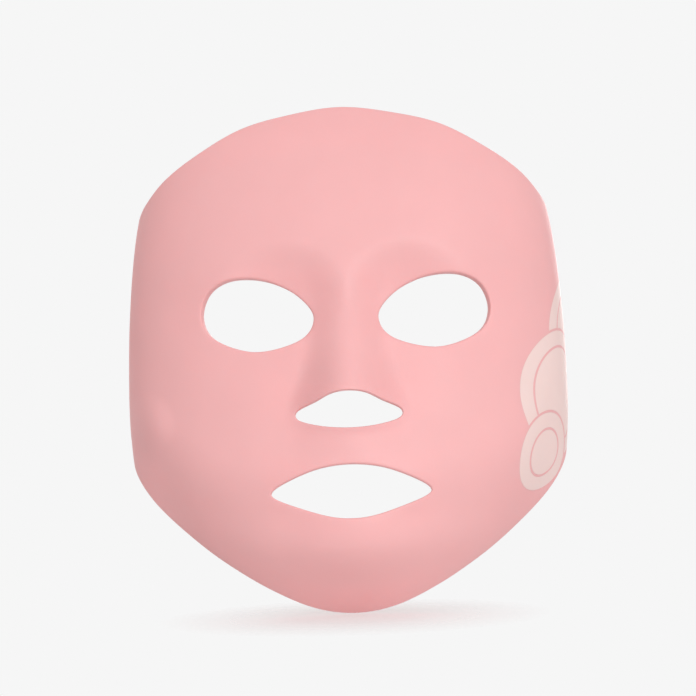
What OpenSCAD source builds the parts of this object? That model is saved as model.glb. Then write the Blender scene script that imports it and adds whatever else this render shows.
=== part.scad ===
// Flexible light and massage mask for the face. Upright as worn, front towards -Y,
// eye line at z = 0, median plane at x = 0.

/* [Face form] */
// Width across the cheekbones.
face_w = 182.6; // [176:0.2:190]
// Height from the chin to the top of the forehead.
face_h = 206.3; // [200:0.1:212]
// Depth from the bridge of the nose back to the sides of the face.
face_d = 54; // [50:0.5:58]
// Rise of the nose above the face.
nose_h = 18; // [15:0.5:20]
// Length of each side wing behind the sides of the face.
wing_l = 26; // [25:0.5:28]
// Rounding of the rear corners of the wings.
wing_r = 10; // [8:0.5:11]

/* [Openings] */
// Width of each eye opening.
eye_w = 44.9; // [41:0.1:46]
// Height of each eye opening.
eye_h = 29.1; // [26:0.1:31]
// Distance of an eye opening's centre from the median plane.
eye_x = 35.6; // [34.4:0.05:36]
// Width of the nostril opening.
nostril_w = 41.3; // [38:0.1:44]
// Height of the nostril opening.
nostril_h = 15; // [13:0.1:16]
// Width of the mouth opening.
mouth_w = 62.2; // [56:0.1:66]
// Height of the mouth opening.
mouth_h = 21.6; // [18:0.1:24]

/* [Layers] */
// Thickness of the whole mask.
body_t = 5.2; // [5.1:0.1:5.5]
// Thickness of the outer skin.
skin_t = 1.5; // [1.3:0.1:1.6]
// Width of the lip that the skin turns in at every edge.
lip_w = 2.4; // [2:0.1:2.8]
// Thickness of the liner against the face.
liner_t = 1.5; // [1.2:0.1:1.6]
// Thickness of the flexible circuits.
circuit_t = 0.3; // [0.2:0.05:0.4]
// Gap between the liner and the lip.
liner_gap = 0.12; // [0.08:0.02:0.2]
// Gap between the skin and the circuits.
layer_gap = 0.1; // [0.05:0.01:0.12]
// Depth of the pale inlays in the skin.
inlay_t = 0.5; // [0.4:0.05:0.7]
// Gap round each inlay.
inlay_gap = 0.05; // [0.03:0.01:0.1]

/* [Lights] */
// Side of a light emitter's package.
led_w = 3.2; // [2.6:0.1:3.5]
// Height of a light emitter's package.
led_t = 0.7; // [0.5:0.05:0.8]
// Diameter of a light emitter's lens.
led_lens_d = 2.4; // [1.8:0.1:2.6]

/* [Massage motors] */
// Outside diameter of a motor's can.
can_d = 10; // [9.6:0.1:10.4]
// Height of a motor's can.
can_t = 2.7; // [2.6:0.05:2.8]
// Thickness of the can's wall.
can_wall = 0.3; // [0.25:0.05:0.35]
// Diameter of the motor's shaft.
shaft_d = 0.8; // [0.7:0.05:0.9]
// Radial gap between the shaft and the rotor that runs on it.
rotor_clear = 0.05; // [0.03:0.01:0.08]
// Gap all round between the rotor's weight and the can.
rotor_gap = 0.35; // [0.3:0.05:0.4]
// Radial gap of the fixed pieces in the can.
seat_clear = 0.02; // [0.01:0.01:0.03]
// Height of each massage node above the liner.
node_h = 2; // [1.8:0.1:2.4]
// Diameter of each massage node.
node_d = 14; // [13:0.5:14.5]

/* [Strap plates] */
// Width of a strap slot.
slot_w = 3; // [2.6:0.1:3.4]
// Length of a strap slot.
slot_l = 22; // [18:0.5:24]
// Distance between the centres of a plate's two slots.
slot_pitch = 34; // [32:0.5:36]
// Thickness of a strap plate.
plate_t = 1.1; // [0.8:0.1:1.2]

/* [Charging socket] */
// Width of the socket's mouth.
socket_w = 6.9; // [6.6:0.1:7]
// Height of the socket's mouth.
socket_h = 1.9; // [1.7:0.05:1.95]
// Wall of the socket's metal shell.
socket_wall = 0.3; // [0.2:0.05:0.3]
// Length of the socket's metal shell.
socket_l = 5.5; // [5:0.1:6]

/* [Hidden] */

SILICONE = [0.93, 0.60, 0.60];
PALE = [0.95, 0.76, 0.74];
LINER = [0.97, 0.82, 0.81];
AMBER = [0.80, 0.55, 0.20];
WHITE = [0.93, 0.93, 0.90];
STEEL = [0.75, 0.76, 0.78];
DARK = [0.12, 0.12, 0.13];
GOLD = [0.85, 0.68, 0.30];
GREEN = [0.10, 0.35, 0.20];

// Percent of the face height against percent of the half width.
HALF_W = [[-63, 70.1], [-53.3, 81.1], [-43.6, 90.9], [-33.9, 97.2], [-24.2, 99.7], [-14.5, 100],
          [0, 98.6], [14.5, 95.1], [24.2, 90.4], [33.9, 83.2], [46, 72.3]];
// Percent of the face height against percent of the face depth: the median line and the sides.
FRONT = [[-63, 26], [-55.7, 5.6], [-47.5, -7.4], [-38.8, -6.5], [-29.1, -9.3], [-19.4, -5.6],
         [-9.7, -2.2], [0, -2.2], [7.3, -5.6], [19.4, 0], [31.5, 14.8], [43.6, 40.7]];
SIDE = [[-63, 92.6], [-29.1, 100], [24.2, 100], [46, 111]];
// Percent of the face height against percent of the nose height, and against the nose's half width.
NOSE_RISE = [[-32, 0], [-27.1, 12], [-22.8, 31], [-18.9, 92], [-16.5, 100], [-13.1, 83],
             [-7.3, 50], [0, 24], [7.3, 9], [13.6, 0]];
NOSE_HALF = [[-32, 24], [-22.8, 25], [-18.4, 25], [-12.1, 20], [0, 15], [13.6, 20]];
// Degrees round the face, then millimetres along a wing, against percent of the face height.
TOP = [[-20, 38.2], [0, 39.9], [20, 38.2], [34, 35.9], [50, 31.1], [64, 26.7], [75, 22.8], [90, 18.9],
       [116, 15.5]];
BOT = [[-14, -59], [0, -60.3], [14, -59], [28, -55.1], [42, -49.6], [56, -43.2], [68, -37.8],
       [80, -32.5], [92, -28.6], [116, -25.2]];
// Hollows and rises: [place across, place up, half width, half height, rise]. Lengths across are percent
// of the half width, lengths up are percent of the face height, and the rise is in millimetres.
PAIRED = [[27.4, 3.4, 29.6, 10.7, -6], [0, -33.9, 43.8, 11.6, 3.5], [0, -45, 35, 9.7, 4]];
JAW_RISE = [-89, -22, 13, 7, 3];
// The jaw turns under towards its edge: depth in percent of the face depth, height in percent of the
// face height, and the degrees round the face between which it dies away.
TURN_UNDER = [37, 25, 50, 90];
FULLNESS = 2.35;
WING_X = 95.3;
WING_BLEND = 14;
EDGE = 90 + wing_l;

// Shapes of the openings in halves of their width and height.
EYE = [[1, -0.09], [0.69, 0.54], [0.14, 0.95], [-0.45, 1], [-0.86, 0.66], [-1, -0.02],
       [-0.77, -0.63], [-0.04, -1], [0.76, -0.7]];
NOSTRIL = [[0, 1], [0.32, 0.88], [0.63, 0.45], [1, -0.09], [0.97, -0.57], [0.53, -0.89], [0, -1]];
MOUTH = [[0, 1], [0.375, 0.88], [0.72, 0.53], [1, 0.08], [0.98, -0.23], [0.63, -0.63], [0.28, -0.92],
         [0, -1]];
EYE_Z = -0.8;
NOSTRIL_Z = -19.2;
MOUTH_Z = -35.1;

// Grid lines of the outer surface and of the layers under it.
FINE_U = [0, 4, 8, 12, 16, 21, 27, 34, 41, 48, 55, 62, 69, 76, 83, 90, 97, 104, EDGE - 7, EDGE - 3, EDGE];
FINE_V = [0, 0.035, 0.08, 0.13, 0.18, 0.23, 0.28, 0.32, 0.35, 0.375, 0.4, 0.425, 0.455, 0.49, 0.53,
          0.575, 0.62, 0.67, 0.725, 0.785, 0.85, 0.92, 0.965, 1];
CORE_U = [0, 4, 8, 12, 16, 23, 31, 39, 47, 55, 64, 73, 82, 90, 98, 104, EDGE - 5, EDGE];
CORE_V = [0, 0.05, 0.1, 0.155, 0.21, 0.26, 0.31, 0.35, 0.38, 0.405, 0.43, 0.46, 0.5, 0.545, 0.59,
          0.64, 0.69, 0.745, 0.8, 0.86, 0.93, 1];

circuit_z0 = skin_t + layer_gap;
circuit_z1 = circuit_z0 + circuit_t;
liner_z0 = body_t - liner_t;
motor_z0 = circuit_z1 + layer_gap;

function mix(a, b, u) = a + (b - a) * u;
function unit(v) = v / norm(v);
function smooth(u) = let (w = min(max(u, 0), 1)) w * w * (3 - 2 * w);
function bell(u) = let (w = min(abs(u), 1)) pow(1 - w * w, 2);
function rise(t, i) =
  let (a = max(i - 1, 0), b = min(i + 1, len(t) - 1))
  (t[b][1] - t[a][1]) / (t[b][0] - t[a][0]);
// Smooth curve through the points of a table.
function curve(t, at) =
  let (w = min(max(at, t[0][0]), t[len(t) - 1][0]),
       i = min(len([for (p = t) if (p[0] <= w) p]) - 1, len(t) - 2),
       h = t[i + 1][0] - t[i][0],
       u = (w - t[i][0]) / h)
  mix(t[i][1], t[i + 1][1], smooth(u)) + (u * (1 - u) * (1 - u)) * h * rise(t, i)
  - (u * u * (1 - u)) * h * rise(t, i + 1);

function high(p) = p * face_h / 100;
function tall(t, z) = curve(t, 100 * z / face_h);
function half_w(z) = tall(HALF_W, z) * face_w / 200;

function wide(p) = p * face_w / 200;
function mound(r, x, z) = r[4] * bell(norm([(x - wide(r[0])) / wide(r[2]), (z - high(r[1])) / high(r[3])]));
// Nose, eye sockets, lips, chin and jaw, standing out of the plain form.
function relief(x, z) =
  tall(NOSE_RISE, z) * nose_h / 100 * bell(x / tall(NOSE_HALF, z))
  + mound(JAW_RISE, x, z)
  + [for (r = PAIRED) mound(r, abs(x), z)] * [for (r = PAIRED) 1];

function under(g, z) =
  let (h = (z - high(curve(BOT, abs(g)))) / high(TURN_UNDER[1]),
       side = (abs(g) - TURN_UNDER[2]) / (TURN_UNDER[3] - TURN_UNDER[2]))
  TURN_UNDER[0] * face_d / 100 * pow(max(0, 1 - h), 2) * (1 - smooth(side));

// A point of the outer surface: g in degrees round the face, then in millimetres along a wing.
function surf(g, z) =
  let (a = half_w(z),
       s = tall(SIDE, z) * face_d / 100,
       f = tall(FRONT, z) * face_d / 100,
       q = max(abs(g) - 90, 0),
       xi = sin(min(abs(g), 90)))
  q > 0
    ? [sign(g) * mix(a, WING_X * face_w / 200, smooth(q / WING_BLEND)), s + q, z]
    : [sign(g) * a * xi,
       s - (s - f) * pow(max(1 - pow(xi, FULLNESS), 0), 1 / FULLNESS)
       - relief(a * xi, z) + under(g, z), z];
function outward(g, z) =
  unit(cross(surf(g + 0.05, z) - surf(g - 0.05, z), surf(g, z + 0.05) - surf(g, z - 0.05)));
function below(g, z, d) = surf(g, z) - d * outward(g, z);
function girth(x, z) = asin(min(max(x / half_w(z), -1), 1));

function corner(q) =
  let (d = min(max(q - wing_l + wing_r, 0), wing_r)) wing_r - sqrt(max(wing_r * wing_r - d * d, 0));
function top(g) = high(curve(TOP, abs(g))) - corner(abs(g) - 90);
function bot(g) = high(curve(BOT, abs(g))) + corner(abs(g) - 90);
// How far an edge that slants must move in height to lie e further in.
function slanted(g, edge) =
  let (z = edge(g), along = surf(g + 1, edge(g + 1)) - surf(g - 1, edge(g - 1)))
  2 * norm(along) / norm([along[0], along[1]]) / norm(surf(g, z + 1) - surf(g, z - 1));
function edge_top(g, e) =
  top(g) - (e > 0 ? e * slanted(g, function (h) top(h)) : 0);
function edge_bot(g, e) =
  bot(g) + (e > 0 ? e * slanted(g, function (h) bot(h)) : 0);

function reverse(l) = [for (i = [len(l) - 1:-1:0]) l[i]];
function both(half, e) =
  let (in = [for (g = half) g > 90 ? mix(90, g, (wing_l - e) / wing_l) : g])
  concat([for (g = reverse(in)) -g], [for (i = [1:len(in) - 1]) in[i]]);
// Height of grid line v of the layer whose edge lies e inside the outline.
function level(g, v, e) =
  let (h = min(max(g, e - EDGE), EDGE - e))
  mix(edge_bot(h, e), edge_top(h, e), v);

// The cells of a grid between two depths, closed at their edges. keep picks the cells by their
// column and row.
module layer(us, vs, e, d0, d1, keep = function (i, j) true) {
  n = len(us);
  m = len(vs);
  grid = [for (g = us) for (v = vs) [g, level(g, v, e)]];
  points = concat([for (p = grid) below(p[0], p[1], d0)], [for (p = grid) below(p[0], p[1], d1)]);
  on = function (i, j) i >= 0 && j >= 0 && i < n - 1 && j < m - 1 && keep(i, j);
  k = function (i, j, s) s * n * m + i * m + j;
  faces = [
    for (i = [0:n - 2])
      for (j = [0:m - 2])
        if (on(i, j))
          let (a = k(i, j, 0), b = k(i + 1, j, 0), c = k(i + 1, j + 1, 0), d = k(i, j + 1, 0),
               e = k(i, j, 1), f = k(i + 1, j, 1), g = k(i + 1, j + 1, 1), h = k(i, j + 1, 1))
          each [
            each us[i] < 0
              ? [[a, d, b], [b, d, c], [e, f, h], [f, g, h]]
              : [[a, d, c], [a, c, b], [e, g, h], [e, f, g]],
            if (!on(i - 1, j)) each [[a, e, h], [a, h, d]],
            if (!on(i + 1, j)) each [[b, g, f], [b, c, g]],
            if (!on(i, j - 1)) each [[a, f, e], [a, b, f]],
            if (!on(i, j + 1)) each [[d, h, g], [d, g, c]]
          ]
  ];
  polyhedron(points, faces);
}

// A closed smooth outline through the points of a shape.
function smoothed(p, n) =
  let (c = len(p))
  [for (i = [0:c - 1])
    for (k = [0:n - 1])
      let (a = p[(i + c - 1) % c], b = p[i], d = p[(i + 1) % c], e = p[(i + 2) % c], u = k / n)
      b + (d - a) * u / 2 + (2 * a - 5 * b + 4 * d - e) * u * u / 2
        + (3 * b - a - 3 * d + e) * u * u * u / 2];
function mirrored(half) = concat(half, reverse([for (p = half) if (p[0] > 0) [-p[0], p[1]]]));
function placed(shape, side, x, z, w, h) = [for (p = shape) [side * (x + p[0] * w / 2), z + p[1] * h / 2]];
function eye_outline(side) =
  placed(smoothed([for (p = EYE) [-p[0], p[1]]], 4), side, eye_x, high(EYE_Z), eye_w, eye_h);
function nostril_outline() =
  placed(smoothed(mirrored(NOSTRIL), 3), 1, 0, high(NOSTRIL_Z), nostril_w, nostril_h);
function mouth_outline() = placed(smoothed(mirrored(MOUTH), 3), 1, 0, high(MOUTH_Z), mouth_w, mouth_h);
// Moves a closed outline outwards by d.
function grown(p, d) =
  let (c = len(p),
       area = [for (i = [0:c - 1]) cross(p[i], p[(i + 1) % c])] * [for (i = [0:c - 1]) 1])
  [for (i = [0:c - 1])
    let (t = unit(p[(i + 1) % c] - p[(i + c - 1) % c]))
    p[i] + d * sign(area) * [t[1], -t[0]]];

reach = face_d + nose_h;
// A straight cut through an outline on the outer surface, leaning sideways and down as it goes in.
module cut(outline, lean, fall, d) {
  in = unit([lean, 1, fall]);
  u = unit(cross(in, [0, 0, 1]));
  w = cross(u, in);
  flat = [for (p = outline) let (s = surf(girth(p[0], p[1]), p[1])) [s * u, s * w]];
  multmatrix([[u[0], w[0], -in[0], 0], [u[1], w[1], -in[1], 0], [u[2], w[2], -in[2], 0]])
    translate([0, 0, -reach])
      linear_extrude(2 * reach)
        polygon(grown(flat, d));
}
module eye_cut(side, d) cut(eye_outline(side), -0.2 * side, -0.12, d);
module nostril_cut(d) cut(nostril_outline(), 0, -0.1, d);
module mouth_cut(d) cut(mouth_outline(), 0, -0.1, d);
module openings(d) {
  eye_cut(1, d);
  eye_cut(-1, d);
  nostril_cut(d);
  mouth_cut(d);
}

// Places children d under the outer surface, with their z outwards and their y up.
module seat(g, z, d) {
  p = below(g, z, d);
  n = outward(g, z);
  u = unit(surf(g + 0.5, z) - surf(g - 0.5, z));
  w = cross(n, u);
  multmatrix([[u[0], w[0], n[0], p[0]], [u[1], w[1], n[1], p[1]], [u[2], w[2], n[2], p[2]]])
    children();
}

// A bar with round ends along y, centred.
module stadium(l, w, t) {
  translate([-w / 2, w / 2 - l / 2, -t / 2])
    cube([w, l - w, t]);
  for (y = [-1, 1])
    translate([0, y * (l - w) / 2, -t / 2])
      cylinder(h = t, d = w, $fn = 32);
}

// Core grid: columns count from the median plane, h on each side, rows from the chin up.
HALF = len(CORE_U) - 1;
core_cols = both(CORE_U, lip_w);
function column(side, h) = side > 0 ? HALF + h : HALF - 1 - h;
function from_median(i) = i >= HALF ? i - HALF : HALF - 1 - i;
function core(i, j, d) = let (g = core_cols[i]) below(g, level(g, CORE_V[j], lip_w), d);

module tray_layer(d0, d1, keep) layer(core_cols, CORE_V, lip_w, d0, d1, keep);

// Places children on the middle of a cell of the circuit, with their z towards the face.
module on_cell(i, j) {
  k = i < HALF ? 1 : 0;
  a = core(i + k, j, circuit_z1);
  b = core(i + 1 - k, j + 1, circuit_z1);
  c = core(i + k, j + 1, circuit_z1);
  e = core(i + 1 - k, j, circuit_z1);
  n = -unit(cross(b - a, c - e)) * (1 - 2 * k);
  w = unit(cross(n, b + e - a - c)) * (1 - 2 * k);
  u = cross(w, n);
  hollow = max(0, (c - a) * n, (e - a) * n);
  p = (a + b) / 2 + n * (0.02 + hollow * min(1, 1.5 * led_w / norm(c - e)));
  multmatrix([[u[0], w[0], n[0], p[0]], [u[1], w[1], n[1], p[1]], [u[2], w[2], n[2], p[2]]])
    children();
}

// Cells [h, row] of each circuit, and its lights.
FOREHEAD_LEDS = [[4, 16], [6, 16], [2, 17], [5, 17], [7, 17], [1, 18], [4, 18], [6, 18], [2, 19], [5, 19]];
CHEEK_LEDS = [[4, 7], [5, 5], [6, 3], [6, 7], [6, 9], [7, 5], [7, 10], [8, 3], [8, 7], [8, 12], [9, 5],
              [9, 9], [10, 7], [10, 12]];
CHIN_LEDS = [[1, 1], [3, 1], [2, 2], [4, 2]];
NOSE_LEDS = [[0, 12], [2, 11]];
LIP_LEDS = [[1, 6], [3, 6]];

on_forehead = function (i, j) let (h = from_median(i)) j >= 16 && j <= 19 && h <= (j == 16 ? 9 : 7);
on_cheek = function (i, j)
  let (h = from_median(i))
  (h == 4 && j >= 6 && j <= 7) || (h >= 5 && h <= 10 && j >= 3 && j <= 8)
  || (h >= 6 && h <= 10 && j >= 9 && j <= 10) || (h >= 8 && h <= 10 && j >= 11 && j <= 12)
  || (h == 9 && j >= 13 && j <= 15);
on_right_cheek = function (i, j) i < HALF && on_cheek(i, j);
on_left_cheek = function (i, j) i >= HALF && on_cheek(i, j);
on_nose = function (i, j)
  let (h = from_median(i)) (j == 11 && h <= 3) || (j == 12 && h <= 1) || (j >= 13 && j <= 15 && h == 0);
on_chin = function (i, j) j >= 1 && j <= 2 && from_median(i) <= 6;
on_lip = function (i, j) let (h = from_median(i)) j == 6 && h <= 3;

module circuit(keep) {
  color(AMBER)
    difference() {
      tray_layer(circuit_z0, circuit_z1, keep);
      openings(lip_w + layer_gap);
    }
}

module leds(cells, sides) {
  color(WHITE)
    for (c = cells)
      for (side = sides)
        on_cell(column(side, c[0]), c[1]) {
          translate([-led_w / 2, -led_w / 2, 0])
            cube([led_w, led_w, led_t]);
          translate([0, 0, led_t])
            cylinder(h = 0.3, d = led_lens_d, $fn = 16);
        }
}

// Strap plates: one in each wing, with two slots.
slot_in = 7;
slot_y = face_d + wing_l - slot_in;
slot_z = high(-4.85);
wing_x = WING_X * face_w / 200;
module slots(side, extra, reach) {
  for (k = [-1, 1])
    translate([side * wing_x, slot_y, slot_z + k * slot_pitch / 2])
      rotate([0, 90, 0])
        rotate([0, 0, 90])
          stadium(slot_l + extra, slot_w + extra, reach);
}
module strap_plate(side) {
  color(STEEL)
    difference() {
      translate([side * (wing_x - circuit_z0 - plate_t / 2), slot_y, slot_z])
        rotate([90, 0, 90])
          stadium(slot_l + slot_pitch + 6, slot_w + 5.2, plate_t);
      slots(side, 0, 30);
    }
}

seal_w = 2.6;
seal_t = 2;
// How far in from an eye opening its seal starts and ends.
seal_in = lip_w + liner_gap + 0.3;
seal_out = seal_in + seal_w;
// Massage motors: [side, degrees round, height]. Each lies on the circuit, flat to the face, one
// beside and one below each eye, with a gap between the seal and the massage node.
node_gap = 2.3;
node_out = seal_out + node_gap + node_d / 2;
temple_z = high(EYE_Z) + 6;
temple_g = girth(eye_x + eye_w / 2 + node_out, temple_z);
cheek_z = high(EYE_Z) - eye_h / 2 - node_out;
cheek_g = girth(eye_x + 3.7, cheek_z);
LEFT_TEMPLE = [1, temple_g, temple_z];
LEFT_CHEEK = [1, cheek_g, cheek_z];
RIGHT_TEMPLE = [-1, temple_g, temple_z];
RIGHT_CHEEK = [-1, cheek_g, cheek_z];
MOTORS = [LEFT_TEMPLE, LEFT_CHEEK, RIGHT_TEMPLE, RIGHT_CHEEK];
motor_lift = 0.42;
base_t = 0.4;
magnet_t = 0.7;
rotor_t = can_t - can_wall - base_t - magnet_t - 2 * rotor_gap * 0.6;

// Children stand on the circuit's side of a motor, with z towards the face.
module on_motor(m, z) {
  seat(m[0] * m[1], m[2], motor_z0 + motor_lift)
    rotate([0, 180, 0])
      translate([0, 0, z])
        children();
}
module can(m) {
  color(STEEL)
    on_motor(m, 0)
      difference() {
        cylinder(h = can_t, d = can_d, $fn = 32);
        translate([0, 0, -1])
          cylinder(h = 1 + can_t - can_wall, d = can_d - 2 * can_wall, $fn = 32);
      }
}
module can_base(m) {
  color(GREEN)
    on_motor(m, 0)
      difference() {
        cylinder(h = base_t, r = can_d / 2 - can_wall - seat_clear, $fn = 32);
        translate([0, 0, -1])
          cylinder(h = base_t + 2, r = shaft_d / 2 + seat_clear, $fn = 24);
      }
}
module magnet(m) {
  color(DARK)
    on_motor(m, base_t)
      difference() {
        cylinder(h = magnet_t, d = can_d * 0.62, $fn = 32);
        translate([0, 0, -1])
          cylinder(h = magnet_t + 2, d = can_d * 0.24, $fn = 24);
      }
}
module shaft(m) {
  color(STEEL)
    on_motor(m, 0)
      cylinder(h = can_t - can_wall - seat_clear, d = shaft_d, $fn = 24);
}
module rotor(m) {
  color(GOLD)
    on_motor(m, base_t + magnet_t + rotor_gap * 0.6)
      difference() {
        union() {
          cylinder(h = rotor_t, d = 2.4, $fn = 32);
          intersection() {
            cylinder(h = rotor_t, r = can_d / 2 - can_wall - rotor_gap, $fn = 32);
            translate([-can_d / 2, -can_d, 0])
              cube([can_d, can_d, rotor_t]);
          }
        }
        translate([0, 0, -1])
          cylinder(h = rotor_t + 2, r = shaft_d / 2 + rotor_clear, $fn = 24);
      }
}

// Pale discs overlap like scales on the left cheek: [degrees round, height, radius].
DISCS = [[86, high(-6), high(10.6)], [72.5, high(-18), high(12.6)], [62, high(-29.5), high(8)]];
ring_in = 6;
ring_w = 1;
module disc_area(k, gap) {
  difference() {
    seat(DISCS[k][0], DISCS[k][1], 24)
      difference() {
        cylinder(h = 40, r = DISCS[k][2] + gap, $fn = 48);
        translate([0, 0, -1])
          difference() {
            cylinder(h = 42, r = DISCS[k][2] - ring_in - gap, $fn = 48);
            cylinder(h = 42, r = DISCS[k][2] - ring_in - ring_w + gap, $fn = 48);
          }
      }
    for (n = [k + 1:1:2])
      seat(DISCS[n][0], DISCS[n][1], 25)
        cylinder(h = 42, r = DISCS[n][2] + ring_w - gap, $fn = 48);
  }
}
fine_cols = both(FINE_U, 0);
function near_disc(i, j, k) =
  let (g = (fine_cols[i] + fine_cols[i + 1]) / 2, z = level(g, (FINE_V[j] + FINE_V[j + 1]) / 2, 0))
  j > 0 && fine_cols[i] > 0 && norm(surf(g, z) - surf(DISCS[k][0], DISCS[k][1])) < DISCS[k][2] + 8;
module skin_layer(d0, d1, keep) layer(fine_cols, FINE_V, 0, d0, d1, keep);
module cheek_inlay(k) {
  color(PALE)
    intersection() {
      skin_layer(0, inlay_t, function (i, j) near_disc(i, j, k));
      disc_area(k, 0);
    }
}

// Charging socket at the right jaw, mouth down. Children have y up from the mask's edge, z outwards.
SOCKET_G = -89;
socket_d = skin_t + layer_gap + socket_h / 2 + socket_wall + 0.45;
mouth_in = 0.4;
board_t = 0.6;
chip_t = 0.8;
tongue_t = 0.6;
board_w = 8;
board_l = 8.5;
board_y = mouth_in + socket_l + 0.15;
module at_socket() {
  z = bot(SOCKET_G);
  p = surf(SOCKET_G, z);
  n = outward(SOCKET_G, z);
  u = unit(surf(SOCKET_G + 1, bot(SOCKET_G + 1)) - surf(SOCKET_G - 1, bot(SOCKET_G - 1)));
  x = unit(cross(cross(n, u), n));
  y = cross(n, x);
  multmatrix([[x[0], y[0], n[0], p[0]], [x[1], y[1], n[1], p[1]], [x[2], y[2], n[2], p[2]]])
    translate([0, 0, -socket_d])
      children();
}
module oval(grow, y0, y1) {
  translate([0, (y0 + y1) / 2, 0])
    rotate([-90, 90, 0])
      stadium(socket_w + 2 * grow, socket_h + 2 * grow, y1 - y0);
}
module socket_shell() {
  color(STEEL)
    at_socket()
      difference() {
        oval(socket_wall, mouth_in, mouth_in + socket_l);
        oval(0, 0, mouth_in + socket_l - socket_wall);
      }
}
module socket_tongue() {
  color(DARK)
    at_socket()
      translate([-socket_w * 0.37, mouth_in + 1, -tongue_t / 2])
        cube([socket_w * 0.74, socket_l - socket_wall - 1.02, tongue_t]);
}
module socket_contacts() {
  color(GOLD)
    at_socket()
      for (k = [-2:2])
        translate([k * 0.95 - 0.2, mouth_in + 1.3, tongue_t / 2 + 0.01])
          cube([0.4, socket_l * 0.6, 0.12]);
}
module socket_board() {
  color(GREEN)
    at_socket()
      translate([-board_w / 2, board_y, -board_t / 2])
        cube([board_w, board_l, board_t]);
}
module socket_chips() {
  color(DARK)
    at_socket()
      for (c = [[-3.4, 0.8, 3, 3], [0.4, 1, 2.6, 4], [-3, 5, 2.4, 2.6], [0.8, 6, 1.6, 1]])
        translate([c[0], board_y + c[1], -board_t / 2 - 0.01 - chip_t])
          cube([c[2], c[3], chip_t]);
}

module outer_shell() {
  color(SILICONE)
    difference() {
      skin_layer(0, body_t, function (i, j) true);
      difference() {
        tray_layer(skin_t, body_t + 2, function (i, j) true);
        openings(lip_w);
      }
      openings(0);
      intersection() {
        skin_layer(-1, inlay_t + inlay_gap,
          function (i, j) near_disc(i, j, 0) || near_disc(i, j, 1) || near_disc(i, j, 2));
        union() {
          disc_area(0, inlay_gap);
          disc_area(1, inlay_gap);
          disc_area(2, inlay_gap);
        }
      }
      slots(1, 1, 30);
      slots(-1, 1, 30);
      at_socket()
        oval(socket_wall + seat_clear, -3, mouth_in + socket_l);
    }
}

module liner_layer(d0, d1, keep)
  layer(both(CORE_U, lip_w + liner_gap), CORE_V, lip_w + liner_gap, d0, d1, keep);
module face_liner() {
  color(LINER)
    difference() {
      union() {
        difference() {
          liner_layer(liner_z0, body_t, function (i, j) true);
          openings(lip_w + liner_gap);
        }
        for (m = MOTORS)
          on_motor(m, liner_z0 - motor_z0 - motor_lift + 0.6)
            massage_node();
      }
      for (m = MOTORS)
        on_motor(m, -1)
          cylinder(h = can_t + 1.15, r = can_d / 2 + 0.1, $fn = 48);
      slots(1, 1, 30);
      slots(-1, 1, 30);
      at_socket()
        socket_pocket();
    }
}
// Room in the liner for the socket, its board and its chips.
module socket_pocket() {
  oval(socket_wall + liner_gap, -3, board_y);
  translate([-board_w / 2 - liner_gap, board_y - 1, -board_t / 2 - chip_t - liner_gap])
    cube([board_w + 2 * liner_gap, board_l + 1 + liner_gap, 6]);
}
// A low round dome that presses on the skin.
module massage_node() {
  depth = body_t - liner_z0 - 0.6 + node_h;
  ball = (node_d * node_d / 4 + node_h * node_h) / (2 * node_h);
  hull() {
    cylinder(h = 0.1, d = node_d, $fn = 24);
    for (k = [0.1, 0.45, 0.75, 1])
      translate([0, 0, depth - ball + sqrt(ball * ball - k * k * node_d * node_d / 4) - 0.1])
        cylinder(h = 0.1, d = k * node_d, $fn = 24);
  }
}

// Soft rings on the liner that keep light out of the eyes.
module eye_seal(side) {
  near_eye = function (i, j) (i >= HALF ? side > 0 : side < 0) && from_median(i) <= 8 && j >= 10 && j <= 17;
  color(DARK)
    difference() {
      intersection() {
        liner_layer(body_t + 0.02, body_t + seal_t, near_eye);
        eye_cut(side, seal_out);
      }
      eye_cut(side, seal_in);
    }
}

outer_shell();
cheek_inlay(0);  // cheek_inlay_upper
cheek_inlay(1);  // cheek_inlay_middle
cheek_inlay(2);  // cheek_inlay_lower
face_liner();
eye_seal(1);  // eye_seal_left
eye_seal(-1);  // eye_seal_right
circuit(on_forehead);  // circuit_forehead
circuit(on_left_cheek);  // circuit_left_cheek
circuit(on_right_cheek);  // circuit_right_cheek
circuit(on_nose);  // circuit_nose
circuit(on_lip);  // circuit_upper_lip
circuit(on_chin);  // circuit_chin
leds(FOREHEAD_LEDS, [-1, 1]);  // leds_forehead
leds(CHEEK_LEDS, [1]);  // leds_left_cheek
leds(CHEEK_LEDS, [-1]);  // leds_right_cheek
leds(NOSE_LEDS, [-1, 1]);  // leds_nose
leds(LIP_LEDS, [-1, 1]);  // leds_upper_lip
leds(CHIN_LEDS, [-1, 1]);  // leds_chin
strap_plate(1);  // strap_plate_left
strap_plate(-1);  // strap_plate_right
socket_shell();
socket_tongue();
socket_contacts();
socket_board();
socket_chips();
can(LEFT_TEMPLE);  // left_temple_can
can_base(LEFT_TEMPLE);  // left_temple_base
magnet(LEFT_TEMPLE);  // left_temple_magnet
shaft(LEFT_TEMPLE);  // left_temple_shaft
rotor(LEFT_TEMPLE);  // left_temple_rotor
can(LEFT_CHEEK);  // left_cheek_can
can_base(LEFT_CHEEK);  // left_cheek_base
magnet(LEFT_CHEEK);  // left_cheek_magnet
shaft(LEFT_CHEEK);  // left_cheek_shaft
rotor(LEFT_CHEEK);  // left_cheek_rotor
can(RIGHT_TEMPLE);  // right_temple_can
can_base(RIGHT_TEMPLE);  // right_temple_base
magnet(RIGHT_TEMPLE);  // right_temple_magnet
shaft(RIGHT_TEMPLE);  // right_temple_shaft
rotor(RIGHT_TEMPLE);  // right_temple_rotor
can(RIGHT_CHEEK);  // right_cheek_can
can_base(RIGHT_CHEEK);  // right_cheek_base
magnet(RIGHT_CHEEK);  // right_cheek_magnet
shaft(RIGHT_CHEEK);  // right_cheek_shaft
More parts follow.
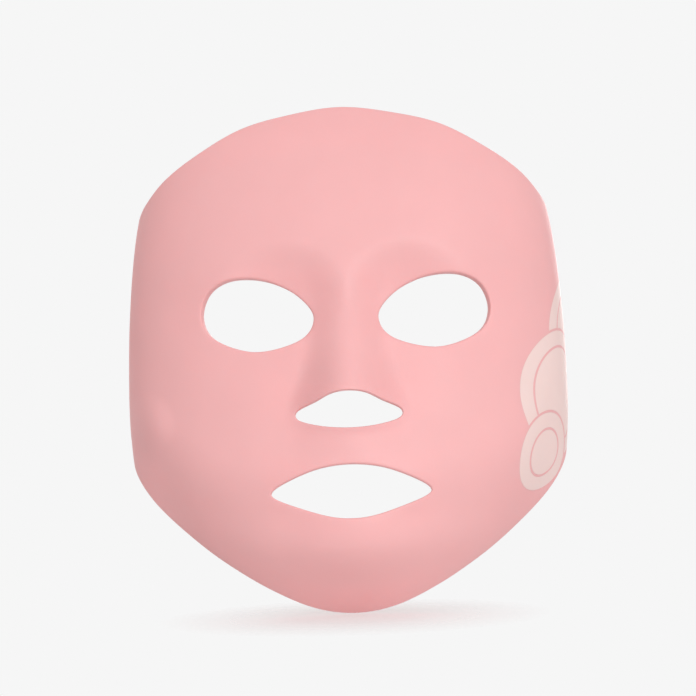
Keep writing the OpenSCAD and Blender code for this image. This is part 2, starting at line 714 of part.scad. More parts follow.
rotor(RIGHT_CHEEK);  // right_cheek_rotor
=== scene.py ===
import math

import bmesh
import bpy
import numpy as np
from bpy.props import FloatProperty, FloatVectorProperty, PointerProperty
from mathutils import Matrix, Vector
from mathutils.geometry import delaunay_2d_cdt
from mathutils.kdtree import KDTree


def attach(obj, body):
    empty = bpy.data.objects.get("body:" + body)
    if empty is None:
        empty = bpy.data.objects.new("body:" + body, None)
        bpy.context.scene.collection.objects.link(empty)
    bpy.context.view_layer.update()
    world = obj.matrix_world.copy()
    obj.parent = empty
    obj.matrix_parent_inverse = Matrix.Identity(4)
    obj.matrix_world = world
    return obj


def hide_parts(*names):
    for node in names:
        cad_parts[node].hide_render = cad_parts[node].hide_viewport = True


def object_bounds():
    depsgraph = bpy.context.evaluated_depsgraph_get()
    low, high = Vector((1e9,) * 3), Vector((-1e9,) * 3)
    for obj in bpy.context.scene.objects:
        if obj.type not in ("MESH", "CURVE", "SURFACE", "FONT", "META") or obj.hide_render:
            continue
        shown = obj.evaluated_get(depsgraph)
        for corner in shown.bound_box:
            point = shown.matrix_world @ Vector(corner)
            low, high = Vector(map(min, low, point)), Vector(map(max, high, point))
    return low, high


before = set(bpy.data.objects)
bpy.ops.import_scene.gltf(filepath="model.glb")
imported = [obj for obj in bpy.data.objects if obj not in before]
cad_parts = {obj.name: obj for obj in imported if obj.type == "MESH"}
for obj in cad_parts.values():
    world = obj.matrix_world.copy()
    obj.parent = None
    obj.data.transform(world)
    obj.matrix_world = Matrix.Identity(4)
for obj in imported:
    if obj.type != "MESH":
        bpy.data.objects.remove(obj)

bl_info = {
    "name": "Face Mask Dresser",
    "version": (1, 0, 0),
    "blender": (4, 5, 0),
    "location": "View3D > Sidebar > Face Mask",
    "description": "Moulds and finishes a flexible light and massage mask over its solid parts",
    "category": "Object",
}

CAD_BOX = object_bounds()
BODY = "mask"

# Heights in percent of the face height, against percent of the half width.
HALF_WIDTH = [(-63, 70.1), (-53.3, 81.1), (-43.6, 90.9), (-33.9, 97.2), (-24.2, 99.7), (-14.5, 100),
              (0, 98.6), (14.5, 95.1), (24.2, 90.4), (33.9, 83.2), (46, 72.3)]
# Heights against percent of the face depth, on the median line and at the sides.
MEDIAN = [(-63, 26), (-55.7, 5.6), (-47.5, -7.4), (-38.8, -6.5), (-29.1, -9.3), (-19.4, -5.6),
          (-9.7, -2.2), (0, -2.2), (7.3, -5.6), (19.4, 0), (31.5, 14.8), (43.6, 40.7)]
SIDES = [(-63, 92.6), (-29.1, 100), (24.2, 100), (46, 111)]
# Heights against percent of the nose height, and against the nose's half width in millimetres.
NOSE_RISE = [(-32, 0), (-27.1, 12), (-22.8, 31), (-18.9, 92), (-16.5, 100), (-13.1, 83),
             (-7.3, 50), (0, 24), (7.3, 9), (13.6, 0)]
NOSE_WIDTH = [(-32, 24), (-22.8, 25), (-18.4, 25), (-12.1, 20), (0, 15), (13.6, 20)]
# Degrees round the face, then millimetres along a wing, against percent of the face height.
TOP_EDGE = [(-20, 38.2), (0, 39.9), (20, 38.2), (34, 35.9), (50, 31.1), (64, 26.7), (75, 22.8),
            (90, 18.9), (116, 15.5)]
BOTTOM_EDGE = [(-14, -59), (0, -60.3), (14, -59), (28, -55.1), (42, -49.6), (56, -43.2),
               (68, -37.8), (80, -32.5), (92, -28.6), (116, -25.2)]
# Eye hollows, lips and chin: place across, place up, half width and half height, in percent of the
# face's half width and of its height, then the rise in millimetres.
PAIRED_MOUNDS = [(27.4, 3.4, 29.6, 10.7, -6), (0, -33.9, 43.8, 11.6, 3.5), (0, -45, 35, 9.7, 4)]
# The same for the bump at the right jaw.
JAW_MOUND = (-89, -22, 13, 7, 3)
# The jaw turns under: percent of the face depth, percent of the face height, and the degrees round
# the face between which it dies away.
TURN_UNDER = (37, 25, 50, 90)
# How full the cheeks are: 2 is an ellipse.
FULLNESS = 2.35
# The wings' rear edge in percent of the half width, and the millimetres that take a side there.
WING_SPREAD, WING_BLEND = 95.3, 14

# Openings in halves of their own width and height.
EYE = [(1, -0.09), (0.69, 0.54), (0.14, 0.95), (-0.45, 1), (-0.86, 0.66), (-1, -0.02),
       (-0.77, -0.63), (-0.04, -1), (0.76, -0.7)]
NOSTRIL = [(0, 1), (0.32, 0.88), (0.63, 0.45), (1, -0.09), (0.97, -0.57), (0.53, -0.89), (0, -1)]
MOUTH = [(0, 1), (0.375, 0.88), (0.72, 0.53), (1, 0.08), (0.98, -0.23), (0.63, -0.63),
         (0.28, -0.92), (0, -1)]
# Heights of their centres in percent of the face height.
EYE_UP, NOSTRIL_UP, MOUTH_UP = -0.8, -19.2, -35.1

# Grid of the circuits: its columns in degrees and wing millimetres, and its rows as shares of the
# height there. The lights are (column from the median plane, row).
GRID_ROUND = [0, 4, 8, 12, 16, 23, 31, 39, 47, 55, 64, 73, 82, 90, 98, 104]
GRID_UP = [0, 0.05, 0.1, 0.155, 0.21, 0.26, 0.31, 0.35, 0.38, 0.405, 0.43, 0.46, 0.5, 0.545, 0.59,
           0.64, 0.69, 0.745, 0.8, 0.86, 0.93, 1]
FOREHEAD_LIGHTS = [(4, 16), (6, 16), (2, 17), (5, 17), (7, 17), (1, 18), (4, 18), (6, 18), (2, 19),
                   (5, 19)]
CHEEK_LIGHTS = [(4, 7), (5, 5), (6, 3), (6, 7), (6, 9), (7, 5), (7, 10), (8, 3), (8, 7), (8, 12),
                (9, 5), (9, 9), (10, 7), (10, 12)]
CHIN_LIGHTS = [(1, 1), (3, 1), (2, 2), (4, 2)]
NOSE_LIGHTS = [(0, 12), (2, 11)]
LIP_LIGHTS = [(1, 6), (3, 6)]
# From a circuit up to the middle of a light's lens.
LENS_UP = 0.98

# Motors beside and below each eye: the gap between a seal and a massage node, how far the upper
# ones lie above the eye's centre, how far out the lower ones lie, and how far in each stands.
MOTORS = ["left_temple", "left_cheek", "right_temple", "right_cheek"]
NODE_GAP, TEMPLE_UP, CHEEK_OUT, MOTOR_LIFT = 2.3, 6, 3.7, 0.42
# From the edge of the liner to an eye seal.
SEAL_IN = 0.3
# Pale discs: degrees round, percent up, radius in percent of the face height.
DISCS = [(86, -6, 10.6), (72.5, -18, 12.6), (62, -29.5, 8)]
DISC_NAMES = ["upper", "middle", "lower"]
# Round cutters for the discs start this far under the skin, and their length.
CUT_FROM, CUT_LONG = 24, 40
# The ring in each disc: how far in from its edge, and its width.
RING_IN, RING_WIDTH = 6, 1
# Degrees round the face of the socket, its steel wall and its depth under the skin, and how far up
# from the mask's edge its rooms in the skin and in the liner reach.
SOCKET_ROUND, SOCKET_WALL, SOCKET_SUNK = -89, 0.3, 0.45
SKIN_ROOM, LINER_ROOM = 6.2, 6.1
# The room of its board in the liner: half the width, then the reach up from the mask's edge.
BOARD_HALF, BOARD_FROM, BOARD_TO = 4.12, 5, 16
# And how far that room reaches to the front and to the rear of the socket's middle.
BOARD_FRONT, BOARD_REAR = 5, 1.3
# Gap of a piece that is seated in or on another.
SEAT_GAP = 0.02
# Strap slots: from the wing's rear edge, and percent of the face height.
SLOT_IN, SLOT_UP = 7, -4.85
# How far the walls of the openings run outwards and upwards for each millimetre that they run in.
EYE_LEAN, EYE_FALL, LOW_FALL = -0.2, -0.12, -0.1
# Easing of the rear edges of the lip and of the liner: its ends and its middle, from the corner.
EASE, EASE_MID = 0.35, 0.1
# Rounding of the strap slots' front edges.
SLOT_EDGE = 0.5
# The skin has finer faces round the nose: place up in percent of the face height, and radius.
NOSE_UP, NOSE_REACH = -17, 22
# Camera: height in metres, focal length and aim above and beside the middle in units of a picture
# that is PICTURE wide, and roll in degrees.
CAMERA_UP, PICTURE, FOCAL, AIM_UP, AIM_SIDE, ROLL = -0.021, 696, 2760, 13, 1, 1.8
# The circuits' copper tracks.
COPPER = (0.62, 0.27, 0.09)
# How far light soaks into the silicone.
SOFT = {"Subsurface_Weight": 0.12, "Subsurface_Radius": (0.004, 0.0015, 0.0012), "Subsurface_Scale": 1.0}


def length(name, default, about):
    """A size that a user may change, in metres."""
    return FloatProperty(name=name, default=default, description=about, unit="LENGTH",
                         subtype="DISTANCE", min=0.0, precision=5)


def colour(name, default, about):
    """A colour that a user may change."""
    return FloatVectorProperty(name=name, default=default, description=about, subtype="COLOR",
                               size=3, min=0.0, max=1.0)


class MASK_PG_form(bpy.types.PropertyGroup):
    """Sizes of the mask's outer form"""

    face_w: length("Face width", 0.1826, "Width across the cheekbones")
    face_h: length("Face height", 0.2063, "Height from the chin to the top of the forehead")
    face_d: length("Face depth", 0.054, "Depth from the bridge of the nose back to the sides")
    nose_h: length("Nose height", 0.018, "Rise of the nose above the face")
    wing_l: length("Wing length", 0.026, "Length of each wing behind the sides of the face")
    wing_r: length("Wing rounding", 0.010, "Rounding of the rear corners of the wings")


class MASK_PG_openings(bpy.types.PropertyGroup):
    """Sizes and places of the openings and the strap slots"""

    eye_w: length("Eye width", 0.0449, "Width of each eye opening")
    eye_h: length("Eye height", 0.0291, "Height of each eye opening")
    eye_x: length("Eye place", 0.0356, "Distance of an eye opening from the median plane")
    nostril_w: length("Nostril width", 0.0413, "Width of the nostril opening")
    nostril_h: length("Nostril height", 0.015, "Height of the nostril opening")
    mouth_w: length("Mouth width", 0.0622, "Width of the mouth opening")
    mouth_h: length("Mouth height", 0.0216, "Height of the mouth opening")
    slot_w: length("Slot width", 0.003, "Width of a strap slot")
    slot_l: length("Slot length", 0.022, "Length of a strap slot")
    slot_pitch: length("Slot pitch", 0.034, "Distance between the centres of two strap slots")


class MASK_PG_layers(bpy.types.PropertyGroup):
    """Thicknesses of the layers and sizes of the small parts"""

    body_t: length("Whole thickness", 0.0052, "Thickness of the whole mask")
    skin_t: length("Skin thickness", 0.0015, "Thickness of the outer skin")
    lip_w: length("Lip width", 0.0024, "Width of the lip that the skin turns in at every edge")
    liner_t: length("Liner thickness", 0.0015, "Thickness of the liner against the face")
    liner_gap: length("Liner gap", 0.00012, "Gap between the liner and the lip")
    circuit_t: length("Circuit thickness", 0.0003, "Thickness of the flexible circuits")
    layer_gap: length("Layer gap", 0.0001, "Gap between the skin and the circuits")
    inlay_t: length("Inlay depth", 0.0005, "Depth of the pale inlays")
    inlay_gap: length("Inlay gap", 0.00005, "Gap round each inlay")
    edge_r: length("Edge rounding", 0.0009, "Rounding of every outer edge")
    led_w: length("Light width", 0.0032, "Side of a light's package")
    lens_d: length("Lens diameter", 0.0024, "Diameter of a light's lens")
    lens_h: length("Lens height", 0.0009, "Height of the flattened ball of a light's lens")
    can_d: length("Motor diameter", 0.010, "Outside diameter of a motor's can")
    can_t: length("Motor height", 0.0027, "Height of a motor's can")
    node_h: length("Node height", 0.002, "Height of a massage node above the liner")
    node_d: length("Node diameter", 0.014, "Diameter of a massage node")
    seal_w: length("Seal width", 0.0026, "Width of an eye seal")
    seal_t: length("Seal height", 0.002, "Height of an eye seal above the liner")
    socket_w: length("Socket width", 0.0069, "Width of the charging socket's mouth")
    socket_h: length("Socket height", 0.0019, "Height of the charging socket's mouth")
    spacing: length("Mesh spacing", 0.0015, "Distance between the mesh points of the skin")


class MASK_PG_finish(bpy.types.PropertyGroup):
    """Colours of the mask and of its surroundings"""

    skin: colour("Skin", (0.945, 0.515, 0.515), "Colour of the outer silicone")
    pale: colour("Inlays", (0.985, 0.765, 0.72), "Colour of the pale inlays")
    liner: colour("Liner", (0.94, 0.74, 0.72), "Colour of the translucent liner")
    seal: colour("Seals", (0.045, 0.036, 0.038), "Colour of the eye seals")
    film: colour("Film", (0.93, 0.56, 0.16), "Colour of the flexible circuits")
    backdrop: colour("Backdrop", (0.922, 0.922, 0.922), "Colour of the floor and the backdrop")


class MASK_PG_stage(bpy.types.PropertyGroup):
    """Camera distance and light levels"""

    distance: length("Camera distance", 1.1, "Distance of the camera in front of the mask")
    key: FloatProperty(name="Key lamp", default=8.25, description="Power of the main lamp in watts",
                       subtype="POWER", unit="POWER")
    fill: FloatProperty(name="Fill lamp", default=0.8, description="Power of the side lamp",
                        subtype="POWER", unit="POWER")
    back: FloatProperty(name="Back lamp", default=4.5, description="Power of the lamp behind the mask",
                        subtype="POWER", unit="POWER")
    ambient: FloatProperty(name="Ambient", default=0.61, description="Level of the soft light all round")


class Form:
    """The mask's outer surface in millimetres, from the settings. A place on it is g, degrees
    round the face and then millimetres along a wing, and z, its height. Meshes are planned on
    flat plane points: p, about the way round in millimetres, and z."""

    # Plane millimetres for a degree round the face.
    ROUND = math.radians(1) * 75

    def __init__(self, scene):
        for group in (scene.mask_form, scene.mask_openings, scene.mask_layers):
            for key in group.__annotations__:
                setattr(self, key, getattr(group, key) * 1000)
        self.edge = 90 + self.wing_l
        self.wing_x = WING_SPREAD * self.face_w / 200
        self.circuit_z1 = self.skin_t + self.layer_gap + self.circuit_t
        self.liner_z0 = self.body_t - self.liner_t
        self.motor_z0 = self.circuit_z1 + self.layer_gap + MOTOR_LIFT

    @staticmethod
    def curve(table, at):
        """Smooth value of a table of (place, value) rows, which runs level past its ends."""
        t = np.array(table, float)
        x, y = t[:, 0], t[:, 1]
        slope = np.empty(len(x))
        slope[1:-1] = (y[2:] - y[:-2]) / (x[2:] - x[:-2])
        slope[0] = (y[1] - y[0]) / (x[1] - x[0])
        slope[-1] = (y[-1] - y[-2]) / (x[-1] - x[-2])
        w = np.clip(at, x[0], x[-1])
        i = np.clip(np.searchsorted(x, w, side="right") - 1, 0, len(x) - 2)
        h = x[i + 1] - x[i]
        u = (w - x[i]) / h
        return (y[i] + (y[i + 1] - y[i]) * u * u * (3 - 2 * u) + u * (1 - u) ** 2 * h * slope[i]
                - u * u * (1 - u) * h * slope[i + 1])

    @staticmethod
    def bell(u):
        """A soft hump, 1 in the middle and 0 from 1 outwards."""
        return (1 - np.minimum(np.abs(u), 1) ** 2) ** 2

    @staticmethod
    def smooth(u):
        """Eases from 0 to 1."""
        w = np.clip(u, 0, 1)
        return w * w * (3 - 2 * w)

    def high(self, percent):
        """Millimetres for a percentage of the face height."""
        return percent * self.face_h / 100

    def tall(self, table, z):
        """Value of a table of heights at height z."""
        return self.curve(table, 100 * np.asarray(z, float) / self.face_h)

    def half_width(self, z):
        return self.tall(HALF_WIDTH, z) * self.face_w / 200

    def mound(self, m, x, z):
        """How far a mound stands out at a place."""
        across, up = self.face_w / 200, self.face_h / 100
        return m[4] * self.bell(np.hypot((x - m[0] * across) / (m[2] * across),
                                         (z - m[1] * up) / (m[3] * up)))

    def relief(self, x, z):
        """How far the nose and the mounds stand out at a place."""
        nose = self.tall(NOSE_RISE, z) * self.nose_h / 100 * self.bell(x / self.tall(NOSE_WIDTH, z))
        return nose + self.mound(JAW_MOUND, x, z) + sum(self.mound(m, np.abs(x), z) for m in PAIRED_MOUNDS)

    def under(self, g, z):
        """How far the jaw turns back under the face."""
        deep, tall, start, end = TURN_UNDER
        h = (z - self.high(self.curve(BOTTOM_EDGE, np.abs(g)))) / self.high(tall)
        fade = 1 - self.smooth((np.abs(g) - start) / (end - start))
        return deep * self.face_d / 100 * np.maximum(0, 1 - h) ** 2 * fade

    def surf(self, g, z):
        """Points of the outer surface."""
        g, z = np.broadcast_arrays(np.asarray(g, float), np.asarray(z, float))
        a = self.half_width(z)
        side = self.tall(SIDES, z) * self.face_d / 100
        front = self.tall(MEDIAN, z) * self.face_d / 100
        q = np.maximum(np.abs(g) - 90, 0)
        xi = np.sin(np.radians(np.minimum(np.abs(g), 90)))
        full = side - (side - front) * np.maximum(1 - xi ** FULLNESS, 0) ** (1 / FULLNESS)
        x = np.sign(g) * np.where(q > 0, a + (self.wing_x - a) * self.smooth(q / WING_BLEND), a * xi)
        y = np.where(q > 0, side + q, full - self.relief(np.sign(g) * a * xi, z) + self.under(g, z))
        return np.stack([x, y, z], -1)

    def outward(self, g, z):
        """Normals of the outer surface."""
        n = np.cross(self.surf(g + 0.05, z) - self.surf(g - 0.05, z),
                     self.surf(g, z + 0.05) - self.surf(g, z - 0.05))
        return n / np.linalg.norm(n, axis=-1, keepdims=True)

    def below(self, g, z, d):
        """Points at depth d under the outer surface."""
        return self.surf(g, z) - self.outward(g, z) * np.asarray(d, float)[..., None]

    def girth(self, x, z):
        """Degrees round the face of a place x across."""
        return np.degrees(np.arcsin(np.clip(x / self.half_width(z), -1, 1)))

    def corner(self, q):
        """How much a wing loses at its rounded rear corner, q millimetres along it."""
        d = np.clip(q - self.wing_l + self.wing_r, 0, self.wing_r)
        return self.wing_r - np.sqrt(np.maximum(self.wing_r ** 2 - d * d, 0))

    def top(self, g):
        """Height of the upper edge."""
        return self.high(self.curve(TOP_EDGE, np.abs(g))) - self.corner(np.abs(g) - 90)

    def bottom(self, g):
        """Height of the lower edge."""
        return self.high(self.curve(BOTTOM_EDGE, np.abs(g))) + self.corner(np.abs(g) - 90)

    def to_plane(self, g):
        """Places round the face as plane millimetres."""
        g = np.asarray(g, float)
        return np.where(np.abs(g) <= 90, g * self.ROUND, np.sign(g) * (90 * self.ROUND + np.abs(g) - 90))

    def to_girth(self, p):
        """Plane millimetres as places round the face."""
        p = np.asarray(p, float)
        turn = 90 * self.ROUND
        return np.where(np.abs(p) <= turn, p / self.ROUND, np.sign(p) * (90 + np.abs(p) - turn))

    def point(self, plane, d=0.0):
        """Points in space for plane points, at depth d."""
        return self.below(self.to_girth(plane[:, 0]), plane[:, 1], np.broadcast_to(d, len(plane)))

    def normal(self, plane):
        return self.outward(self.to_girth(plane[:, 0]), plane[:, 1])

    def slopes(self, plane, d):
        """How the points at depth d move with the plane's two axes."""
        h = 0.04
        across = (self.point(plane + [h, 0], d) - self.point(plane - [h, 0], d)) / (2 * h)
        up = (self.point(plane + [0, h], d) - self.point(plane - [0, h], d)) / (2 * h)
        return across, up

    def inset(self, loop, e):
        """Moves a loop e into the material, which lies on its left."""
        if e == 0:
            return loop
        along = self.point(np.roll(loop, -1, 0)) - self.point(np.roll(loop, 1, 0))
        along /= np.linalg.norm(along, axis=1, keepdims=True)
        aim = np.cross(self.normal(loop), along) * e
        across, up = self.slopes(loop, 0)
        return loop + np.array([np.linalg.lstsq(np.stack([a, b], -1), t, rcond=None)[0]
                                for a, b, t in zip(across, up, aim)])

    def sunk(self, loop, lean, d):
        """Where a straight wall through a loop, along lean, lies at depth d. It is found by
        Newton's method, with its steps kept short."""
        start = self.point(loop)
        steep = np.maximum(-(self.normal(loop) @ lean), 0.35)
        at, t = loop.copy(), d / steep
        for _ in range(6):
            off = self.point(at, d) - start - t[:, None] * lean
            across, up = self.slopes(at, d)
            step = np.linalg.solve(np.stack([across, up, np.broadcast_to(-lean, across.shape)], -1),
                                   off[..., None])[..., 0]
            step = np.clip(step, -2, 2)
            at, t = at - step[:, :2], t - step[:, 2]
        return at

    def resample(self, loop, step):
        """The same loop with points an even step apart in space."""
        ring = np.vstack([loop, loop[:1]])
        run = np.r_[0, np.cumsum(np.linalg.norm(np.diff(self.point(ring), axis=0), axis=1))]
        t = np.linspace(0, run[-1], max(12, round(run[-1] / step)), endpoint=False)
        return np.stack([np.interp(t, run, ring[:, 0]), np.interp(t, run, ring[:, 1])], 1)

    def outline(self, step):
        """The outer edge as a loop of plane points."""
        g = np.linspace(-self.edge, self.edge, 1600)
        upper = np.stack([self.to_plane(g), self.top(g)], 1)[::-1]
        lower = np.stack([self.to_plane(g), self.bottom(g)], 1)
        return self.resample(np.vstack([lower, upper]), step)

    def opening(self, shape, side, x, up, w, h, step):
        """A closed smooth loop through the points of an opening's shape, hole on its right."""
        c = np.array(shape, float)
        n = len(c)
        u = np.linspace(0, 1, 24, endpoint=False)[:, None]
        rows = []
        for i in range(n):
            a, b, d, e = (c[(i + k) % n] for k in (-1, 0, 1, 2))
            rows.append(b + (d - a) * u / 2 + (2 * a - 5 * b + 4 * d - e) * u * u / 2
                        + (3 * b - a - 3 * d + e) * u ** 3 / 2)
        flat = np.vstack(rows)
        px, pz = side * (x + flat[:, 0] * w / 2), self.high(up) + flat[:, 1] * h / 2
        loop = np.stack([self.to_plane(self.girth(px, pz)), pz], 1)
        return self.resample(loop if area(loop) < 0 else loop[::-1], step)

    def openings(self, step):
        """Every opening as (loop, lean of its wall)."""
        out = []
        for side in (1, -1):
            shape = [(-x, z) for x, z in EYE]
            out.append((self.opening(shape, side, self.eye_x, EYE_UP, self.eye_w, self.eye_h, step),
                        unit([EYE_LEAN * side, 1, EYE_FALL])))
        for half, up, w, h in ((NOSTRIL, NOSTRIL_UP, self.nostril_w, self.nostril_h),
                               (MOUTH, MOUTH_UP, self.mouth_w, self.mouth_h)):
            whole = half + [(-x, z) for x, z in half if x > 0][::-1]
            out.append((self.opening(whole, 1, 0, up, w, h, step), unit([0, 1, LOW_FALL])))
        return out

    def slots(self, extra, step):
        """The strap slots, each as a loop of plane points."""
        out = []
        half_l, r = (self.slot_l + extra) / 2, (self.slot_w + extra) / 2
        turn = np.radians(np.linspace(0, 180, 12))
        arc = np.stack([r * np.cos(turn), half_l - r + r * np.sin(turn)], 1)
        bar = np.vstack([arc, -arc])
        for side in (1, -1):
            for k in (1, -1):
                loop = bar + [side * (90 * self.ROUND + self.wing_l - SLOT_IN),
                              self.high(SLOT_UP) + k * self.slot_pitch / 2]
                out.append(self.resample(loop if area(loop) < 0 else loop[::-1], step))
        return out

    def seat(self, g, z, d):
        """Matrix of a place under the surface: x round the face, y up, z outwards."""
        n = self.outward(g, z)
        u = unit(self.surf(g + 0.5, z) - self.surf(g - 0.5, z))
        return placed(u, np.cross(n, u), n, self.below(g, z, d))

    def motor(self, name):
        """Matrix of a motor, z outwards."""
        g, z = self.motor_place(name)
        return self.seat(g, z, self.motor_z0)

    def motor_place(self, name):
        """Degrees round the face and height of a motor."""
        out = self.lip_w + self.liner_gap + SEAL_IN + self.seal_w + NODE_GAP + self.node_d / 2
        eye_z = self.high(EYE_UP)
        if name.endswith("temple"):
            x, z = self.eye_x + self.eye_w / 2 + out, eye_z + TEMPLE_UP
        else:
            x, z = self.eye_x + CHEEK_OUT, eye_z - self.eye_h / 2 - out
        return float(self.girth(x if name.startswith("left") else -x, z)), z

    def socket(self):
        """Matrix of the charging socket: x along the jaw's edge, y up from it, z outwards."""
        g = SOCKET_ROUND
        z = float(self.bottom(g))
        n = self.outward(g, z)
        u = self.surf(g + 1, self.bottom(g + 1)) - self.surf(g - 1, self.bottom(g - 1))
        x = unit(np.cross(np.cross(n, u), n))
        depth = self.skin_t + self.layer_gap + self.socket_h / 2 + SOCKET_WALL + SOCKET_SUNK
        return placed(x, np.cross(n, x), n, self.below(g, z, depth))

    def grid_columns(self):
        """Places round the face of the circuit grid's columns."""
        half = [g if g <= 90 else 90 + (g - 90) * (self.wing_l - self.lip_w) / self.wing_l
                for g in GRID_ROUND + [self.edge - 5, self.edge]]
        return [-g for g in half[::-1]] + half[1:]

    def grid_height(self, g, v):
        """Height of a share v of the way up between the lips."""
        g = min(max(g, self.lip_w - self.edge), self.edge - self.lip_w)
        ends = []
        for edge, way in ((self.bottom, 1), (self.top, -1)):
            along = self.surf(g + 1, edge(g + 1)) - self.surf(g - 1, edge(g - 1))
            rise = np.linalg.norm(self.surf(g, edge(g) + 1) - self.surf(g, edge(g) - 1)) / 2
            ends.append(edge(g) + way * self.lip_w * np.linalg.norm(along) / np.hypot(*along[:2]) / rise)
        return ends[0] + (ends[1] - ends[0]) * v

    def grid_point(self, i, j, d):
        g = self.grid_columns()[i]
        return self.below(g, self.grid_height(g, GRID_UP[j]), d)

    def light(self, h, j, side):
        """Matrix of a light on its cell, z towards the face. It is lifted clear of a hollow cell."""
        half = len(GRID_ROUND) + 1
        i = half + h if side > 0 else half - 1 - h
        k = 1 if side < 0 else 0
        a, b, c, e = (self.grid_point(col, row, self.circuit_z1)
                      for col, row in ((i + k, j), (i + 1 - k, j + 1), (i + k, j + 1), (i + 1 - k, j)))
        n = -unit(np.cross(b - a, c - e)) * (1 - 2 * k)
        w = unit(np.cross(n, b + e - a - c)) * (1 - 2 * k)
        hollow = max(0, (c - a) @ n, (e - a) @ n)
        lift = hollow * min(1, 1.5 * self.led_w / np.linalg.norm(c - e))
        p = (a + b) / 2 + n * (SEAT_GAP + lift)
        return placed(np.cross(w, n), w, n, p)


def unit(v):
    """A vector with length 1."""
    v = np.asarray(v, float)
    return v / np.linalg.norm(v)


def area(loop):
    """Area inside a loop, below 0 where it runs clockwise."""
    x, y = loop[:, 0], loop[:, 1]
    return 0.5 * np.sum(x * np.roll(y, -1) - y * np.roll(x, -1))


def placed(x, y, z, origin):
    """Matrix of a place with its three axes."""
    m = np.eye(4)
    m[:3, 0], m[:3, 1], m[:3, 2], m[:3, 3] = x, y, z, origin
    return m


def within(points, loop):
    """Which plane points lie inside a loop."""
    x, y = points[:, 0], points[:, 1]
    inside = np.zeros(len(points), bool)
    for (ax, ay), (bx, by) in zip(loop, np.roll(loop, 1, 0)):
        if ay != by:
            inside ^= ((ay > y) != (by > y)) & (x < (bx - ax) * (y - ay) / (by - ay) + ax)
    return inside


class Moulding:
    """Collects the points and faces of one moulded piece."""

    def __init__(self, form):
        self.form, self.points, self.faces, self.count = form, [], [], 0

    def add(self, points):
        """Takes in points and gives their numbers."""
        self.points.append(points)
        self.count += len(points)
        return np.arange(self.count - len(points), self.count)

    def walls(self, loop, profile, lean=None, closed=False):
        """Rings of a wall along a loop, one for each (inset, depth) of the profile, which may be
        closed. Returns the plane points and numbers of the first and the last ring."""
        made = []
        for e, d in profile:
            base = loop if lean is None or d == 0 else self.form.sunk(loop, lean, d)
            plane = self.form.inset(base, e)
            made.append((plane, self.add(self.form.point(plane, d))))
        for (_, a), (_, b) in zip(made, made[1:] + made[:closed]):
            for i in range(len(a)):
                k = (i + 1) % len(a)
                self.faces.append((a[k], a[i], b[i], b[k]))
        return made[0], made[-1]

    def rims(self, profile, slot_profile):
        """The walls of the outline, of the openings and of the strap slots, as their first rings
        and their last rings."""
        form = self.form
        rims = [(form.outline(form.spacing), profile, None)]
        rims += [(loop, profile, lean) for loop, lean in form.openings(form.spacing * 0.8)]
        rims += [(loop, slot_profile, None) for loop in form.slots(1, 1)]
        return [list(rings) for rings in zip(*(self.walls(*rim) for rim in rims))]

    def sheet(self, rings, depth, spacing, flip=False, finer=()):
        """Fills the plane between rings, the first of them the outer one, with points that lie
        at depth, a number or a function of the plane points. finer lists (centre, radius,
        spacing) of places that need smaller faces."""
        loops = [plane for plane, _ in rings]
        edge = np.vstack(loops)
        low, top = edge.min(0), edge.max(0)
        fills = [hexagons(low, top, spacing)]
        for centre, radius, small in finer:
            far = np.linalg.norm(fills[0] - centre, axis=1) > radius
            fills[0] = fills[0][far]
            near = hexagons(centre - radius, centre + radius, small)
            fills.append(near[np.linalg.norm(near - centre, axis=1) <= radius - small * 0.4])
        fill = np.vstack(fills)
        keep = within(fill, loops[0])
        for loop in loops[1:]:
            keep &= ~within(fill, loop)
        tree = KDTree(len(edge))
        for i, p in enumerate(edge):
            tree.insert((p[0], p[1], 0), i)
        tree.balance()
        fill = np.array([p for p in fill[keep] if tree.find((p[0], p[1], 0))[2] > 0.6 * spacing])
        lines, start = [], 0
        for loop in loops:
            n = len(loop)
            lines += [(start + i, start + (i + 1) % n) for i in range(n)]
            start += n
        bent = self.bend(np.vstack([edge, fill]))
        loops = [self.bend(loop) for loop in loops]
        verts, _, faces, origin, _, _ = delaunay_2d_cdt([Vector(p) for p in bent], lines, [], 0, 1e-7)
        numbers = np.concatenate([ids for _, ids in rings])
        deep = depth(fill) if callable(depth) else depth
        numbers = np.concatenate([numbers, self.add(self.form.point(fill, deep))])
        verts = np.array([tuple(v) for v in verts])
        faces = np.array([tuple(f) for f in faces])
        middle = verts[faces].mean(1)
        keep = within(middle, loops[0])
        for loop in loops[1:]:
            keep &= ~within(middle, loop)
        back = np.array([o[0] for o in origin])
        for f in numbers[back[faces[keep]]]:
            self.faces.append((f[2], f[1], f[0]) if flip else tuple(f))

    @staticmethod
    def bend(plane):
        """Bows straight edges a little, so that no three points of one lie in line."""
        return plane * (1 - 1e-5 * plane[:, ::-1] ** 2)

    def piece(self, name):
        """The points and faces as an object."""
        return new_piece(name, np.vstack(self.points), self.faces)


def hexagons(low, top, spacing):
    """Plane points in staggered rows over a box."""
    x, y = np.meshgrid(np.arange(low[0], top[0], spacing), np.arange(low[1], top[1], spacing * 0.866))
    x[1::2] += spacing / 2
    return np.stack([x.ravel(), y.ravel()], 1)


def new_piece(name, points, faces, smooth=True):
    """A mesh object from points in millimetres."""
    mesh = bpy.data.meshes.new(name)
    mesh.from_pydata((np.asarray(points) / 1000).tolist(), [], [tuple(int(i) for i in f) for f in faces])
    mesh.update()
    mesh.polygons.foreach_set("use_smooth", [smooth] * len(mesh.polygons))
    piece = bpy.data.objects.new(name, mesh)
    bpy.context.collection.objects.link(piece)
    return piece


